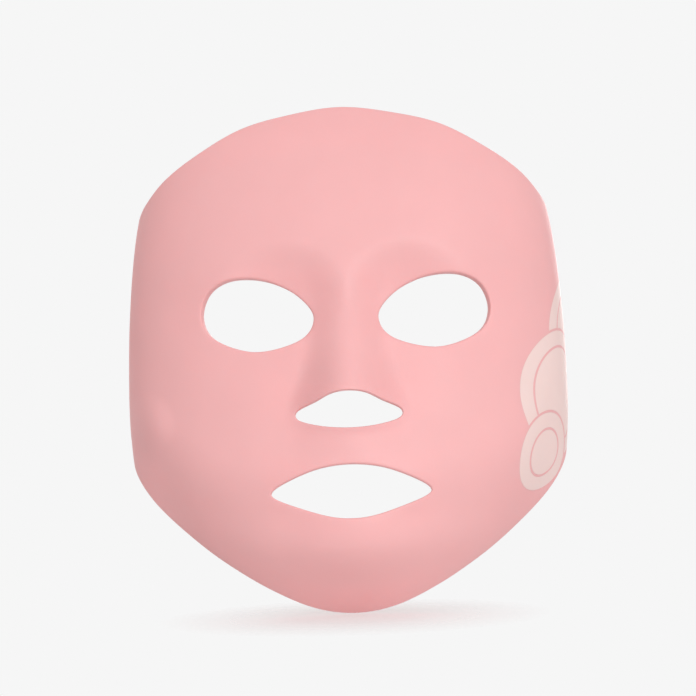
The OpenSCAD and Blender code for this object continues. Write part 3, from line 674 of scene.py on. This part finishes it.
def crease(piece, degrees):
    """Keeps the edges sharper than an angle crisp in smooth shading."""
    made = bmesh.new()
    made.from_mesh(piece.data)
    for edge in made.edges:
        edge.smooth = len(edge.link_faces) != 2 or edge.calc_face_angle(0) < math.radians(degrees)
    for face in made.faces:
        face.smooth = True
    made.to_mesh(piece.data)
    made.free()


def solid(name, matrix, outline, low, high):
    """A straight prism on a flat outline, placed by a matrix."""
    n = len(outline)
    points = np.vstack([np.c_[outline, np.full(n, low)], np.c_[outline, np.full(n, high)]])
    faces = [tuple(range(n))[::-1], tuple(range(n, 2 * n))]
    faces += [(i, (i + 1) % n, n + (i + 1) % n, n + i) for i in range(n)]
    points = points @ matrix[:3, :3].T + matrix[:3, 3]
    return new_piece(name, points, faces, smooth=False)


def round_outline(r, n=96):
    t = np.linspace(0, 2 * np.pi, n, endpoint=False)
    return np.stack([r * np.cos(t), r * np.sin(t)], 1)


def oval_outline(w, h, n=16):
    t = np.linspace(-np.pi / 2, np.pi / 2, n)
    right = np.stack([(w - h) / 2 + h / 2 * np.cos(t), h / 2 * np.sin(t)], 1)
    return np.vstack([right, -right])


def carve(piece, others, operation="DIFFERENCE"):
    """Cuts the others from a piece, or keeps what they share, and removes them."""
    for other in others:
        step = piece.modifiers.new("carve", "BOOLEAN")
        step.operation, step.solver, step.object = operation, "MANIFOLD", other
        apply_modifiers(piece)
        old = other.data
        bpy.data.objects.remove(other)
        bpy.data.meshes.remove(old)
    if not piece.data.polygons:
        raise RuntimeError(f"Nothing is left of {piece.name}")


def apply_modifiers(piece):
    """Turns what a piece's modifiers make into its plain mesh."""
    bpy.context.view_layer.update()
    shaped = piece.evaluated_get(bpy.context.evaluated_depsgraph_get())
    mesh = bpy.data.meshes.new_from_object(shaped)
    piece.modifiers.clear()
    old, piece.data = piece.data, mesh
    mesh.name = old.name
    bpy.data.meshes.remove(old)


class Value:
    """A shader value or colour that takes part in Python sums."""

    def __init__(self, recipe, socket):
        self.recipe, self.socket = recipe, socket

    def sum(self, operation, first, second):
        return self.recipe.node("ShaderNodeMath", {"operation": operation}, {0: first, 1: second})

    def __add__(self, other):
        return self.sum("ADD", self, other)

    def __rsub__(self, other):
        return self.sum("SUBTRACT", other, self)

    def __mul__(self, other):
        return self.sum("MULTIPLY", self, other)

    def above(self, level):
        return self.sum("GREATER_THAN", self, level)

    def fraction(self):
        return self.sum("FRACT", self, 0)

    def clamp(self):
        return self.recipe.node("ShaderNodeClamp", {}, {"Value": self})


class Graph:
    """Makes and joins shader nodes in one tree."""

    def __init__(self, owner):
        owner.use_nodes = True
        self.tree = owner.node_tree

    def feed(self, socket, value):
        """Joins a value to a socket, or sets a number or colour on it."""
        if isinstance(value, Value):
            self.tree.links.new(value.socket, socket)
        elif isinstance(value, (tuple, list)) and len(socket.default_value) == 4 and len(value) == 3:
            socket.default_value = (*value, 1)
        else:
            socket.default_value = value

    def node(self, kind, settings=None, inputs=None, output=0):
        """Adds a shader node and gives one of its outputs as a Value."""
        made = self.tree.nodes.new(kind)
        for key, value in (settings or {}).items():
            if key == "stops":
                for stop, (at, shade) in zip(made.color_ramp.elements, value):
                    stop.position, stop.color = at, (shade, shade, shade, 1)
            else:
                setattr(made, key, value)
        for key, value in (inputs or {}).items():
            self.feed(made.inputs[key], value)
        return Value(self, made.outputs[output])

    def coords(self, stretch=(1, 1, 1)):
        """Places on the piece, stretched along its axes."""
        spot = self.node("ShaderNodeTexCoord", output="Object")
        return self.node("ShaderNodeMapping", {}, {"Vector": spot, "Scale": stretch})

    def noise(self, scale, detail=3.0, rough=0.5, at=None):
        return self.node("ShaderNodeTexNoise", {}, {"Vector": at or self.coords(), "Scale": scale,
                                                    "Detail": detail, "Roughness": rough})

    def blend(self, factor, first, second):
        return self.node("ShaderNodeMix", {"data_type": "RGBA", "blend_type": "MIX"},
                         {0: factor, 6: first, 7: second}, output=2)

    def spread(self, value, low, high, to_low=0.0, to_high=1.0):
        """Maps one range of a value to another."""
        return self.node("ShaderNodeMapRange", {"clamp": True},
                         {"Value": value, 1: low, 2: high, 3: to_low, 4: to_high})

    def end(self, shader):
        """Makes a shader the tree's result."""
        last = next(n for n in self.tree.nodes if n.type in ("OUTPUT_MATERIAL", "OUTPUT_WORLD"))
        self.feed(last.inputs["Surface"], shader)


class Recipe(Graph):
    """A procedural material on a Principled shader."""

    def __init__(self, name, **constants):
        self.material = bpy.data.materials.new(name)
        super().__init__(self.material)
        self.shader = self.tree.nodes["Principled BSDF"]
        for key, value in constants.items():
            self.feed(self.shader.inputs[key.replace("_", " ")], value)

    def finish(self, **fed):
        """Feeds the shader's sockets and gives the material."""
        for key, value in fed.items():
            if key == "Bump":
                strength, distance, height = value
                bump = self.node("ShaderNodeBump", {}, {"Strength": strength, "Distance": distance,
                                                        "Height": height})
                self.feed(self.shader.inputs["Normal"], bump)
            else:
                self.feed(self.shader.inputs[key.replace("_", " ")], value)
        return self.material


def toned(colour, share):
    """A colour at a share of its brightness."""
    return tuple(c * share for c in colour)


def silicone(name, colour, deep, rough=0.5, **constants):
    """Soft matte silicone: a fine moulded grain, a faint clouding of the pigment and a powdery
    finish that wears a little smoother in patches."""
    r = Recipe(name, IOR=1.41, Specular_IOR_Level=0.4, **constants)
    clouds = r.noise(38, 4, 0.55)
    grain = r.noise(2600, 2, 0.6)
    pits = r.noise(900, 3, 0.6)
    tone = r.blend(r.spread(clouds, 0.35, 0.7), colour, deep)
    worn = r.spread(r.noise(16, 2), 0.4, 0.65, rough - 0.05, rough + 0.07)
    return r.finish(Base_Color=tone, Roughness=worn + grain * 0.05,
                    Bump=(0.22, 0.00012, grain * 0.6 + pits * 0.5))


def metal(name, colour, rough=0.3, stretch=(1, 1, 18), scale=900):
    """Drawn or brushed metal with fine lines along one way."""
    r = Recipe(name, Metallic=1.0)
    lines = r.noise(scale, 4, 0.6, r.coords(stretch))
    tone = r.blend(r.spread(lines, 0.3, 0.7), toned(colour, 0.8), colour)
    return r.finish(Base_Color=tone, Roughness=r.spread(lines, 0.3, 0.7, rough - 0.08, rough + 0.14),
                    Bump=(0.15, 0.00003, lines))


def plastic(name, colour, rough=0.45, **constants):
    """Moulded plastic, lacquer or resin with a fine spark-eroded grain."""
    r = Recipe(name, **constants)
    grain = r.noise(3200, 2)
    tone = r.blend(r.spread(r.noise(700, 2), 0.3, 0.7), colour, toned(colour, 0.82))
    return r.finish(Base_Color=tone, Roughness=r.spread(grain, 0.3, 0.7, rough - 0.06, rough + 0.08),
                    Bump=(0.2, 0.00004, grain))


def film(name, colour):
    """Amber polyimide film over rows of copper tracks, on the piece's own flat map in metres."""
    r = Recipe(name, Coat_Weight=0.4, Coat_Roughness=0.12, Specular_IOR_Level=0.5)
    flat = r.node("ShaderNodeTexCoord", output="UV")
    x, y = (r.node("ShaderNodeSeparateXYZ", {}, {0: flat}, output=k) for k in (0, 1))
    tracks, rows = 380, 110
    across, along = (x * tracks).fraction(), (y * rows).fraction()
    copper = (across.above(0.38) * (1 - along.above(0.9)) + along.above(0.93)).clamp()
    weave = r.noise(1500, 2)
    tone = r.blend(copper, r.blend(r.spread(weave, 0.3, 0.7), colour, toned(colour, 0.75)),
                   COPPER)
    return r.finish(Base_Color=tone, Roughness=0.42 - copper * 0.12,
                    Bump=(0.3, 0.00004, copper + weave * 0.2))


def give(piece, material):
    """Makes a material the only one of a piece."""
    piece.data.materials.clear()
    piece.data.materials.append(material)


def ride(piece, slot, *nodes):
    """Fixes a piece to the mask and hides the solids that it stands for. The slot argument is not used."""
    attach(piece, BODY)
    if nodes:
        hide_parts(*nodes)


def arc(r, e0, d0, start, steps=5):
    """Rounding from the outer face down a wall ("front"), or from a wall to the rear face."""
    t = np.radians(np.linspace(0, 90, steps))
    if start == "front":
        return [(e0 + r * (1 - math.sin(a)), d0 + r * (1 - math.cos(a))) for a in t]
    return [(e0 + r * (1 - math.cos(a)), d0 - r * (1 - math.sin(a))) for a in t]


class MASK_OT_skin(bpy.types.Operator):
    """Moulds the outer skin with its rounded edges, turned-in lip, openings and strap slots"""

    bl_idname = "mask.skin"
    bl_label = "Outer skin"

    def execute(self, context):
        form = Form(context.scene)
        made = Moulding(form)
        body, lip, floor = form.body_t, form.lip_w, form.skin_t
        profile = (arc(form.edge_r, 0, 0, "front") + arc(form.edge_r, 0, body, "rear")
                   + [(lip - EASE, body), (lip - EASE_MID, body - EASE_MID), (lip, body - EASE),
                      (lip, floor)])
        fronts, floors = made.rims(profile, arc(SLOT_EDGE, 0, 0, "front") + [(0, floor)])
        nose = (np.array([0, form.high(NOSE_UP)]), NOSE_REACH, form.spacing * 0.7)
        made.sheet(fronts, 0, form.spacing, finer=[nose])
        made.sheet(floors, floor, form.spacing * 2, flip=True)
        skin = made.piece("mask_skin")
        deep = form.inlay_t + form.inlay_gap
        for k in range(len(DISCS)):
            carve(skin, [disc_slab(form, k, -1, deep, form.inlay_gap)])
        carve(skin, [socket_room(form, SEAT_GAP, SKIN_ROOM)])
        crease(skin, 32)
        finish = context.scene.mask_finish
        give(skin, silicone("pink silicone", tuple(finish.skin), toned(finish.skin, 0.975), **SOFT))
        ride(skin, "skin_silicone", "outer_shell")
        return {"FINISHED"}


def socket_room(form, gap, deep):
    """The room of the socket's steel shell with a gap round it, open at the mouth."""
    downwards = form.socket() @ placed([1, 0, 0], [0, 0, 1], [0, -1, 0], [0, 0, 0])
    more = 2 * (SOCKET_WALL + gap)
    return solid("room", downwards, oval_outline(form.socket_w + more, form.socket_h + more), -deep, 3)


def disc_slab(form, k, d0, d1, gap):
    """The part of a layer of the skin that lies in one pale disc, as a solid."""
    g, up, r = DISCS[k]
    r = form.high(r)
    seat = form.seat(g, form.high(up), CUT_FROM)
    made = Moulding(form)
    centre = np.array([float(form.to_plane(g)), form.high(up)])
    reach = round_outline((r + gap + 6) * 1.12, 90) + centre
    reach[:, 0] = np.minimum(reach[:, 0], float(form.to_plane(form.edge)) + 1.5)
    first, last = made.walls(form.resample(reach, form.spacing), [(0, d0), (0, d1)])
    made.sheet([first], d0, form.spacing)
    made.sheet([last], d1, form.spacing * 1.3, flip=True)
    slab = made.piece("slab")
    disc = solid("disc", seat, round_outline(r + gap), 0, CUT_LONG)
    ring = solid("ring", seat, round_outline(r - RING_IN - gap), -1, CUT_LONG + 1)
    carve(ring, [solid("core", seat, round_outline(r - RING_IN - RING_WIDTH + gap), -2, CUT_LONG + 2)])
    carve(disc, [ring])
    for g2, up2, r2 in DISCS[k + 1:]:
        carve(disc, [solid("other", form.seat(g2, form.high(up2), CUT_FROM + 1),
                           round_outline(form.high(r2) + RING_WIDTH - gap), -1, CUT_LONG + 2)])
    carve(slab, [disc], "INTERSECT")
    return slab


class MASK_OT_inlays(bpy.types.Operator):
    """Cuts the three pale inlays that overlap like scales on the left cheek"""

    bl_idname = "mask.inlays"
    bl_label = "Pale inlays"

    def execute(self, context):
        form, finish = Form(context.scene), context.scene.mask_finish
        material = silicone("pale silicone", tuple(finish.pale), toned(finish.pale, 0.97), 0.48, **SOFT)
        for k, name in enumerate(DISC_NAMES):
            inlay = disc_slab(form, k, 0, form.inlay_t, 0)
            inlay.name = inlay.data.name = f"pale_inlay_{name}"
            crease(inlay, 32)
            give(inlay, material)
            ride(inlay, "pale_silicone", f"cheek_inlay_{name}")
        return {"FINISHED"}


class MASK_OT_liner(bpy.types.Operator):
    """Moulds the translucent liner with its massage nodes and the pockets behind them"""

    bl_idname = "mask.liner"
    bl_label = "Face liner"

    def execute(self, context):
        form = Form(context.scene)
        made = Moulding(form)
        body, low, e = form.body_t, form.liner_z0, form.lip_w + form.liner_gap
        profile = [(e + 0.15, low), (e, low + 0.15),
                   (e, body - EASE), (e + EASE_MID, body - EASE_MID), (e + EASE, body)]
        outer, inner = made.rims(profile, [(0, low), (0, body - 0.3), (0.3, body)])
        spots = [form.motor(name) for name in MOTORS]
        centres = [(np.array([float(form.to_plane(g)), z]), 10, 0.7)
                   for g, z in map(form.motor_place, MOTORS)]

        def depth(plane):
            """The rear face, with a low dome that runs out softly over each motor."""
            deep = np.full(len(plane), float(body))
            points = form.point(plane, body)
            for spot in spots:
                reach = points - spot[:3, 3]
                off = np.linalg.norm(reach - np.outer(reach @ spot[:3, 2], spot[:3, 2]), axis=1)
                cap = form.node_h * (1 - (off / (form.node_d / 2)) ** 2)
                deep += np.where(off < form.node_d, (cap + np.sqrt(cap * cap + 0.06)) / 2 - 0.02, 0).clip(0)
            return deep

        made.sheet(outer, low, form.spacing * 1.6)
        made.sheet(inner, depth, form.spacing * 1.2, flip=True, finer=centres)
        liner = made.piece("clear_liner")
        can, can_front = round_outline(form.can_d / 2 + 0.1, 64), -form.can_t - 0.15
        carve(liner, [solid("can_room", spot, can, can_front, 3) for spot in spots])
        board = np.array([[-BOARD_HALF, -BOARD_TO], [BOARD_HALF, -BOARD_TO],
                          [BOARD_HALF, -BOARD_FROM], [-BOARD_HALF, -BOARD_FROM]])
        flat = form.socket() @ placed([1, 0, 0], [0, -1, 0], [0, 0, -1], [0, 0, 0])
        rooms = [socket_room(form, form.liner_gap, LINER_ROOM),
                 solid("board_room", flat, board, -BOARD_FRONT, BOARD_REAR)]
        carve(liner, rooms)
        crease(liner, 35)
        finish = context.scene.mask_finish
        r = Recipe("clear silicone", IOR=1.41, Alpha=0.22, Specular_IOR_Level=0.5, Coat_Weight=0.15,
                   Coat_Roughness=0.3)
        milk = r.noise(60, 4)
        tone = r.blend(r.spread(milk, 0.35, 0.7), tuple(finish.liner), toned(finish.liner, 0.95))
        give(liner, r.finish(Base_Color=tone, Roughness=r.spread(milk, 0.3, 0.7, 0.32, 0.42),
                             Bump=(0.15, 0.0001, r.noise(1800, 2))))
        ride(liner, "liner_silicone", "face_liner")
        return {"FINISHED"}


class MASK_OT_seals(bpy.types.Operator):
    """Rolls the two soft rings that keep light out of the eyes"""

    bl_idname = "mask.seals"
    bl_label = "Eye seals"

    def execute(self, context):
        form = Form(context.scene)
        start = form.lip_w + form.liner_gap + SEAL_IN
        foot, w, side = form.body_t + SEAT_GAP, form.seal_w, 0.7
        rise = form.body_t + form.seal_t - foot - side
        roll = [(start + w / 2 - w / 2 * math.cos(a), foot + side + rise * math.sin(a))
                for a in np.radians(np.linspace(0, 180, 13))]
        profile = ([(start + 0.1, foot), (start, foot + 0.1)] + roll
                   + [(start + w, foot + 0.1), (start + w - 0.1, foot)])
        finish = context.scene.mask_finish
        material = silicone("dark silicone", tuple(finish.seal), toned(finish.seal, 1.5), 0.55)
        for name, (loop, lean) in zip(("left", "right"), form.openings(1.0)[:2]):
            made = Moulding(form)
            made.walls(loop, profile, lean, closed=True)
            seal = made.piece(f"eye_ring_{name}")
            crease(seal, 50)
            give(seal, material)
            ride(seal, "dark_silicone", f"eye_seal_{name}")
        return {"FINISHED"}


# Which cells a circuit takes: h columns from the median plane, j rows up.
def on_forehead(h, j):
    return 16 <= j <= 19 and h <= (9 if j == 16 else 7)


def on_cheek(h, j):
    return ((h == 4 and 6 <= j <= 7) or (5 <= h <= 10 and 3 <= j <= 8) or (6 <= h <= 10 and 9 <= j <= 10)
            or (8 <= h <= 10 and 11 <= j <= 12) or (h == 9 and 13 <= j <= 15))


def on_nose(h, j):
    return (j == 11 and h <= 3) or (j == 12 and h <= 1) or (13 <= j <= 15 and h == 0)


# Circuits: the cells that each takes, on which sides, and the cells of its lights.
FILMS = {
    "forehead": (on_forehead, (1, -1), FOREHEAD_LIGHTS),
    "left_cheek": (on_cheek, (1,), CHEEK_LIGHTS),
    "right_cheek": (on_cheek, (-1,), CHEEK_LIGHTS),
    "nose": (on_nose, (1, -1), NOSE_LIGHTS),
    "upper_lip": (lambda h, j: j == 6 and h <= 3, (1, -1), LIP_LIGHTS),
    "chin": (lambda h, j: 1 <= j <= 2 and h <= 6, (1, -1), CHIN_LIGHTS),
}


def film_loop(form, keep, sides):
    """The smoothed outline of a circuit, as plane points with the film on its left."""
    columns, half = form.grid_columns(), len(GRID_ROUND) + 1
    cells = {(half + h if side > 0 else half - 1 - h, j) for side in sides
             for h in range(half) for j in range(len(GRID_UP) - 1) if keep(h, j)}
    after = {}
    for i, j in cells:
        for a, b, other in (((i, j), (i + 1, j), (i, j - 1)), ((i + 1, j), (i + 1, j + 1), (i + 1, j)),
                            ((i + 1, j + 1), (i, j + 1), (i, j + 1)), ((i, j + 1), (i, j), (i - 1, j))):
            if other not in cells:
                after[a] = b
    start = min(after)
    path, at = [start], after[start]
    while at != start:
        path.append(at)
        at = after[at]
    loop = np.array([[float(form.to_plane(columns[i])), form.grid_height(columns[i], GRID_UP[j])]
                     for i, j in path])
    loop = form.resample(loop, 0.7)
    for _ in range(9):
        loop = loop / 2 + (np.roll(loop, 1, 0) + np.roll(loop, -1, 0)) / 4
    return form.resample(loop, 1.2)


class MASK_OT_circuits(bpy.types.Operator):
    """Cuts the amber circuit films that follow the skin"""

    bl_idname = "mask.circuits"
    bl_label = "Circuit films"

    def execute(self, context):
        form = Form(context.scene)
        material = film("amber film", tuple(context.scene.mask_finish.film))
        for name, (keep, sides, _) in FILMS.items():
            made = Moulding(form)
            loop = film_loop(form, keep, sides)
            first, last = made.walls(loop, [(0, form.skin_t + form.layer_gap), (0, form.circuit_z1)])
            made.sheet([first], form.skin_t + form.layer_gap, 2.5)
            made.sheet([last], form.circuit_z1, 2.5, flip=True)
            piece = made.piece(f"film_{name}")
            crease(piece, 40)
            flat_map(piece, form)
            give(piece, material)
            ride(piece, "circuit_film", f"circuit_{name}")
        return {"FINISHED"}


def flat_map(piece, form):
    """Gives a piece a UV map of its plane points in metres."""
    mesh = piece.data
    points = np.empty(len(mesh.vertices) * 3)
    mesh.vertices.foreach_get("co", points)
    points = points.reshape(-1, 3) * 1000
    side = np.sign(points[:, 0])
    girth = form.girth(points[:, 0], points[:, 2])
    wing = np.abs(girth) > 89
    plane = form.to_plane(np.where(wing, side * (90 + np.maximum(points[:, 1] - form.face_d, 0)), girth))
    flat = np.stack([plane, points[:, 2]], 1) / 1000
    corners = np.empty(len(mesh.loops), int)
    mesh.loops.foreach_get("vertex_index", corners)
    mesh.uv_layers.new(name="flat").data.foreach_set("uv", flat[corners].ravel())


def lens_tree(material):
    """Geometry nodes: a domed lens on every light, from the light's place and turn."""
    tree = bpy.data.node_groups.new("light lenses", "GeometryNodeTree")
    face = tree.interface
    face.new_socket("Geometry", in_out="INPUT", socket_type="NodeSocketGeometry")
    sizes = [face.new_socket(name, in_out="INPUT", socket_type="NodeSocketFloat")
             for name in ("Diameter", "Height")]
    face.new_socket("Geometry", in_out="OUTPUT", socket_type="NodeSocketGeometry")
    made = {key: tree.nodes.new(kind) for key, kind in {
        "in": "NodeGroupInput", "ball": "GeometryNodeMeshIcoSphere", "size": "ShaderNodeCombineXYZ",
        "squeeze": "GeometryNodeTransform", "turn": "GeometryNodeInputNamedAttribute",
        "put": "GeometryNodeInstanceOnPoints", "real": "GeometryNodeRealizeInstances",
        "soft": "GeometryNodeSetShadeSmooth", "paint": "GeometryNodeSetMaterial",
        "out": "NodeGroupOutput"}.items()}
    made["ball"].inputs["Radius"].default_value = 0.5
    made["ball"].inputs["Subdivisions"].default_value = 3
    made["turn"].data_type = "FLOAT_VECTOR"
    made["turn"].inputs["Name"].default_value = "turn"
    made["paint"].inputs["Material"].default_value = material
    for start, out, end, into in (
            ("in", "Diameter", "size", 0), ("in", "Diameter", "size", 1), ("in", "Height", "size", 2),
            ("ball", "Mesh", "squeeze", "Geometry"), ("size", 0, "squeeze", "Scale"),
            ("in", "Geometry", "put", "Points"), ("squeeze", "Geometry", "put", "Instance"),
            ("turn", "Attribute", "put", "Rotation"), ("put", "Instances", "real", "Geometry"),
            ("real", "Geometry", "soft", "Geometry"), ("soft", "Geometry", "paint", "Geometry"),
            ("paint", "Geometry", "out", "Geometry")):
        tree.links.new(made[start].outputs[out], made[end].inputs[into])
    return tree, [size.identifier for size in sizes]


class MASK_OT_lights(bpy.types.Operator):
    """Sets a domed lens on each light and finishes the packages"""

    bl_idname = "mask.lights"
    bl_label = "Lights"

    def execute(self, context):
        form = Form(context.scene)
        spots = [form.light(h, j, side) for _, sides, cells in FILMS.values()
                 for h, j in cells for side in sides]
        mesh = bpy.data.meshes.new("light_lenses")
        mesh.from_pydata([((m[:3, 3] + m[:3, 2] * LENS_UP) / 1000).tolist() for m in spots], [], [])
        turns = mesh.attributes.new("turn", "FLOAT_VECTOR", "POINT")
        for i, m in enumerate(spots):
            turns.data[i].vector = Matrix(m[:3, :3].tolist()).to_euler()
        lenses = bpy.data.objects.new("light_lenses", mesh)
        context.collection.objects.link(lenses)
        r = Recipe("lens resin", IOR=1.5, Coat_Weight=0.6, Coat_Roughness=0.05, Alpha=0.75)
        swirl = r.noise(900, 2)
        clear = r.finish(Base_Color=r.blend(swirl, (0.93, 0.80, 0.38), (0.96, 0.90, 0.62)),
                         Roughness=r.spread(swirl, 0.3, 0.7, 0.08, 0.2))
        tree, (wide, high) = lens_tree(clear)
        step = lenses.modifiers.new("lenses", "NODES")
        step.node_group = tree
        step[wide] = form.lens_d / 1000
        step[high] = form.lens_h / 1000
        apply_modifiers(lenses)
        give(lenses, clear)
        ride(lenses, "led_package")
        package = plastic("white package", (0.84, 0.83, 0.79), 0.35)
        for name in FILMS:
            dress(f"leds_{name}", package)
        return {"FINISHED"}


def dress(node, material):
    """Gives a solid part its finish."""
    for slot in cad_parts[node].material_slots:
        slot.material = material


class MASK_OT_hardware(bpy.types.Operator):
    """Finishes the strap plates, the charging socket and the massage motors"""

    bl_idname = "mask.hardware"
    bl_label = "Hardware"

    def execute(self, context):
        finishes = {
            "plate": metal("brushed plate", (0.60, 0.61, 0.63), 0.36, (1, 14, 1)),
            "shell": metal("socket steel", (0.66, 0.67, 0.69), 0.26, (18, 18, 1)),
            "tongue": plastic("black moulding", (0.012, 0.012, 0.013), 0.5),
            "contacts": metal("gold plate", (0.83, 0.60, 0.22), 0.2, (1, 1, 8)),
            "board": plastic("green lacquer", (0.012, 0.10, 0.045), 0.3, Coat_Weight=0.5,
                             Coat_Roughness=0.15),
            "chips": plastic("chip resin", (0.018, 0.018, 0.02), 0.55),
            "can": metal("drawn can", (0.68, 0.69, 0.71), 0.28, (1, 1, 10)),
            "base": plastic("base lacquer", (0.02, 0.13, 0.06), 0.35),
            "magnet": plastic("bonded ferrite", (0.02, 0.02, 0.022), 0.6, Metallic=0.4),
            "shaft": metal("ground shaft", (0.72, 0.72, 0.74), 0.15, (1, 1, 4)),
            "rotor": metal("sintered brass", (0.66, 0.47, 0.17), 0.4, (1, 1, 1), 1400),
        }
        for side in ("left", "right"):
            dress(f"strap_plate_{side}", finishes["plate"])
        for part in ("shell", "tongue", "contacts", "board", "chips"):
            dress(f"socket_{part}", finishes[part])
        for motor in MOTORS:
            for part in ("can", "base", "magnet", "shaft", "rotor"):
                dress(f"{motor}_{part}", finishes[part])
        return {"FINISHED"}


class MASK_OT_stage(bpy.types.Operator):
    """Sets the pale floor and backdrop, the soft lamps and the camera"""

    bl_idname = "mask.stage"
    bl_label = "Stage"

    def execute(self, context):
        scene, stage = context.scene, context.scene.mask_stage
        shade = tuple(scene.mask_finish.backdrop)
        wide, low = 1500, CAD_BOX[0][2] * 1000 - 0.2
        floor = new_piece("floor", [(-wide, -wide, low), (wide, -wide, low), (wide, wide, low),
                                    (-wide, wide, low)], [(0, 1, 2, 3)], smooth=False)
        give(floor, self.floor(shade))
        scene.world = bpy.data.worlds.new("studio")
        self.light_world(Graph(scene.world), shade, stage.ambient)
        self.lamp("key", (0.44, -1.3, 0.04), 0.5, stage.key)
        self.lamp("fill", (-1.1, -0.5, 0.8), 0.8, stage.fill)
        self.lamp("back", (0.35, 1.3, 0.25), 0.7, stage.back)
        camera = bpy.data.cameras.new("camera")
        camera.sensor_width, camera.lens = 36, 36 * FOCAL / PICTURE
        view = bpy.data.objects.new("camera", camera)
        scene.collection.objects.link(view)
        view.matrix_world = (Matrix.Translation((0, -stage.distance, CAMERA_UP))
                             @ Matrix.Rotation(math.pi / 2 + math.atan(AIM_UP / FOCAL), 4, "X")
                             @ Matrix.Rotation(-math.atan(AIM_SIDE / FOCAL), 4, "Y")
                             @ Matrix.Rotation(-math.radians(ROLL), 4, "Z"))
        scene.camera = view
        scene.view_settings.view_transform = "Standard"
        return {"FINISHED"}

    @staticmethod
    def floor(shade):
        """A pale floor that keeps the shadow near the mask and melts into the backdrop."""
        r = Recipe("floor", Roughness=1.0, Specular_IOR_Level=0.0)
        spot = r.node("ShaderNodeTexCoord", output="Object")
        foot = r.node("ShaderNodeVectorMath", {"operation": "SUBTRACT"}, {0: spot, 1: (0, 0.02, -0.124)})
        away = r.node("ShaderNodeVectorMath", {"operation": "LENGTH"}, {0: foot}, output="Value")
        fade = r.spread(away, 0.025, 0.08, 0.5, 1)
        mottle = r.noise(4, 2)
        r.finish(Base_Color=r.blend(r.spread(mottle, 0.3, 0.7), toned(shade, 0.995), shade))
        clear = r.node("ShaderNodeBsdfTransparent")
        r.end(r.node("ShaderNodeMixShader", {}, {0: fade, 1: Value(r, r.shader.outputs[0]), 2: clear}))
        return r.material

    @staticmethod
    def light_world(g, shade, ambient):
        """Soft light that is weaker from below, behind a plain backdrop."""
        way = g.node("ShaderNodeTexCoord", output="Generated")
        up = g.node("ShaderNodeSeparateXYZ", {}, {0: way}, output=2)
        level = g.spread(up, -1, 1, ambient * 0.78, ambient * 1.2)
        lit = g.node("ShaderNodeBackground", {}, {"Color": (1, 0.88, 0.88), "Strength": level})
        seen = g.node("ShaderNodeBackground", {}, {"Color": shade})
        camera, glossy, through = (g.node("ShaderNodeLightPath", output=f"Is {kind} Ray")
                                   for kind in ("Camera", "Glossy", "Transmission"))
        straight = (camera + glossy + through).clamp()
        g.end(g.node("ShaderNodeMixShader", {}, {0: straight, 1: lit, 2: seen}))

    @staticmethod
    def lamp(name, place, size, power):
        light = bpy.data.lights.new(name, "AREA")
        light.size, light.energy = size, power
        holder = bpy.data.objects.new(name, light)
        bpy.context.scene.collection.objects.link(holder)
        holder.location = place
        aim = Vector((0, 0.02, -0.02)) - Vector(place)
        holder.rotation_euler = aim.to_track_quat("-Z", "Y").to_euler()


class MASK_PT_panel(bpy.types.Panel):
    """Sizes, finishes and steps of the mask"""

    bl_idname = "MASK_PT_panel"
    bl_label = "Face Mask"
    bl_space_type = "VIEW_3D"
    bl_region_type = "UI"
    bl_category = "Face Mask"

    def draw(self, context):
        for group in GROUPS:
            box = self.layout.box()
            box.label(text=group.replace("mask_", "").capitalize())
            settings = getattr(context.scene, group)
            for key in settings.__annotations__:
                box.prop(settings, key)
        for step in STEPS:
            self.layout.operator(step.bl_idname)


GROUPS = {"mask_form": MASK_PG_form, "mask_openings": MASK_PG_openings, "mask_layers": MASK_PG_layers,
          "mask_finish": MASK_PG_finish, "mask_stage": MASK_PG_stage}
STEPS = [MASK_OT_skin, MASK_OT_inlays, MASK_OT_liner, MASK_OT_seals, MASK_OT_circuits, MASK_OT_lights,
         MASK_OT_hardware, MASK_OT_stage]


def register():
    for made in [*GROUPS.values(), *STEPS, MASK_PT_panel]:
        bpy.utils.register_class(made)
    for name, group in GROUPS.items():
        setattr(bpy.types.Scene, name, PointerProperty(type=group))


def unregister():
    for name in GROUPS:
        delattr(bpy.types.Scene, name)
    for made in reversed([*GROUPS.values(), *STEPS, MASK_PT_panel]):
        bpy.utils.unregister_class(made)


def main():
    register()
    for step in STEPS:
        package, name = step.bl_idname.split(".")
        getattr(getattr(bpy.ops, package), name)()


if __name__ == "__main__":
    main()
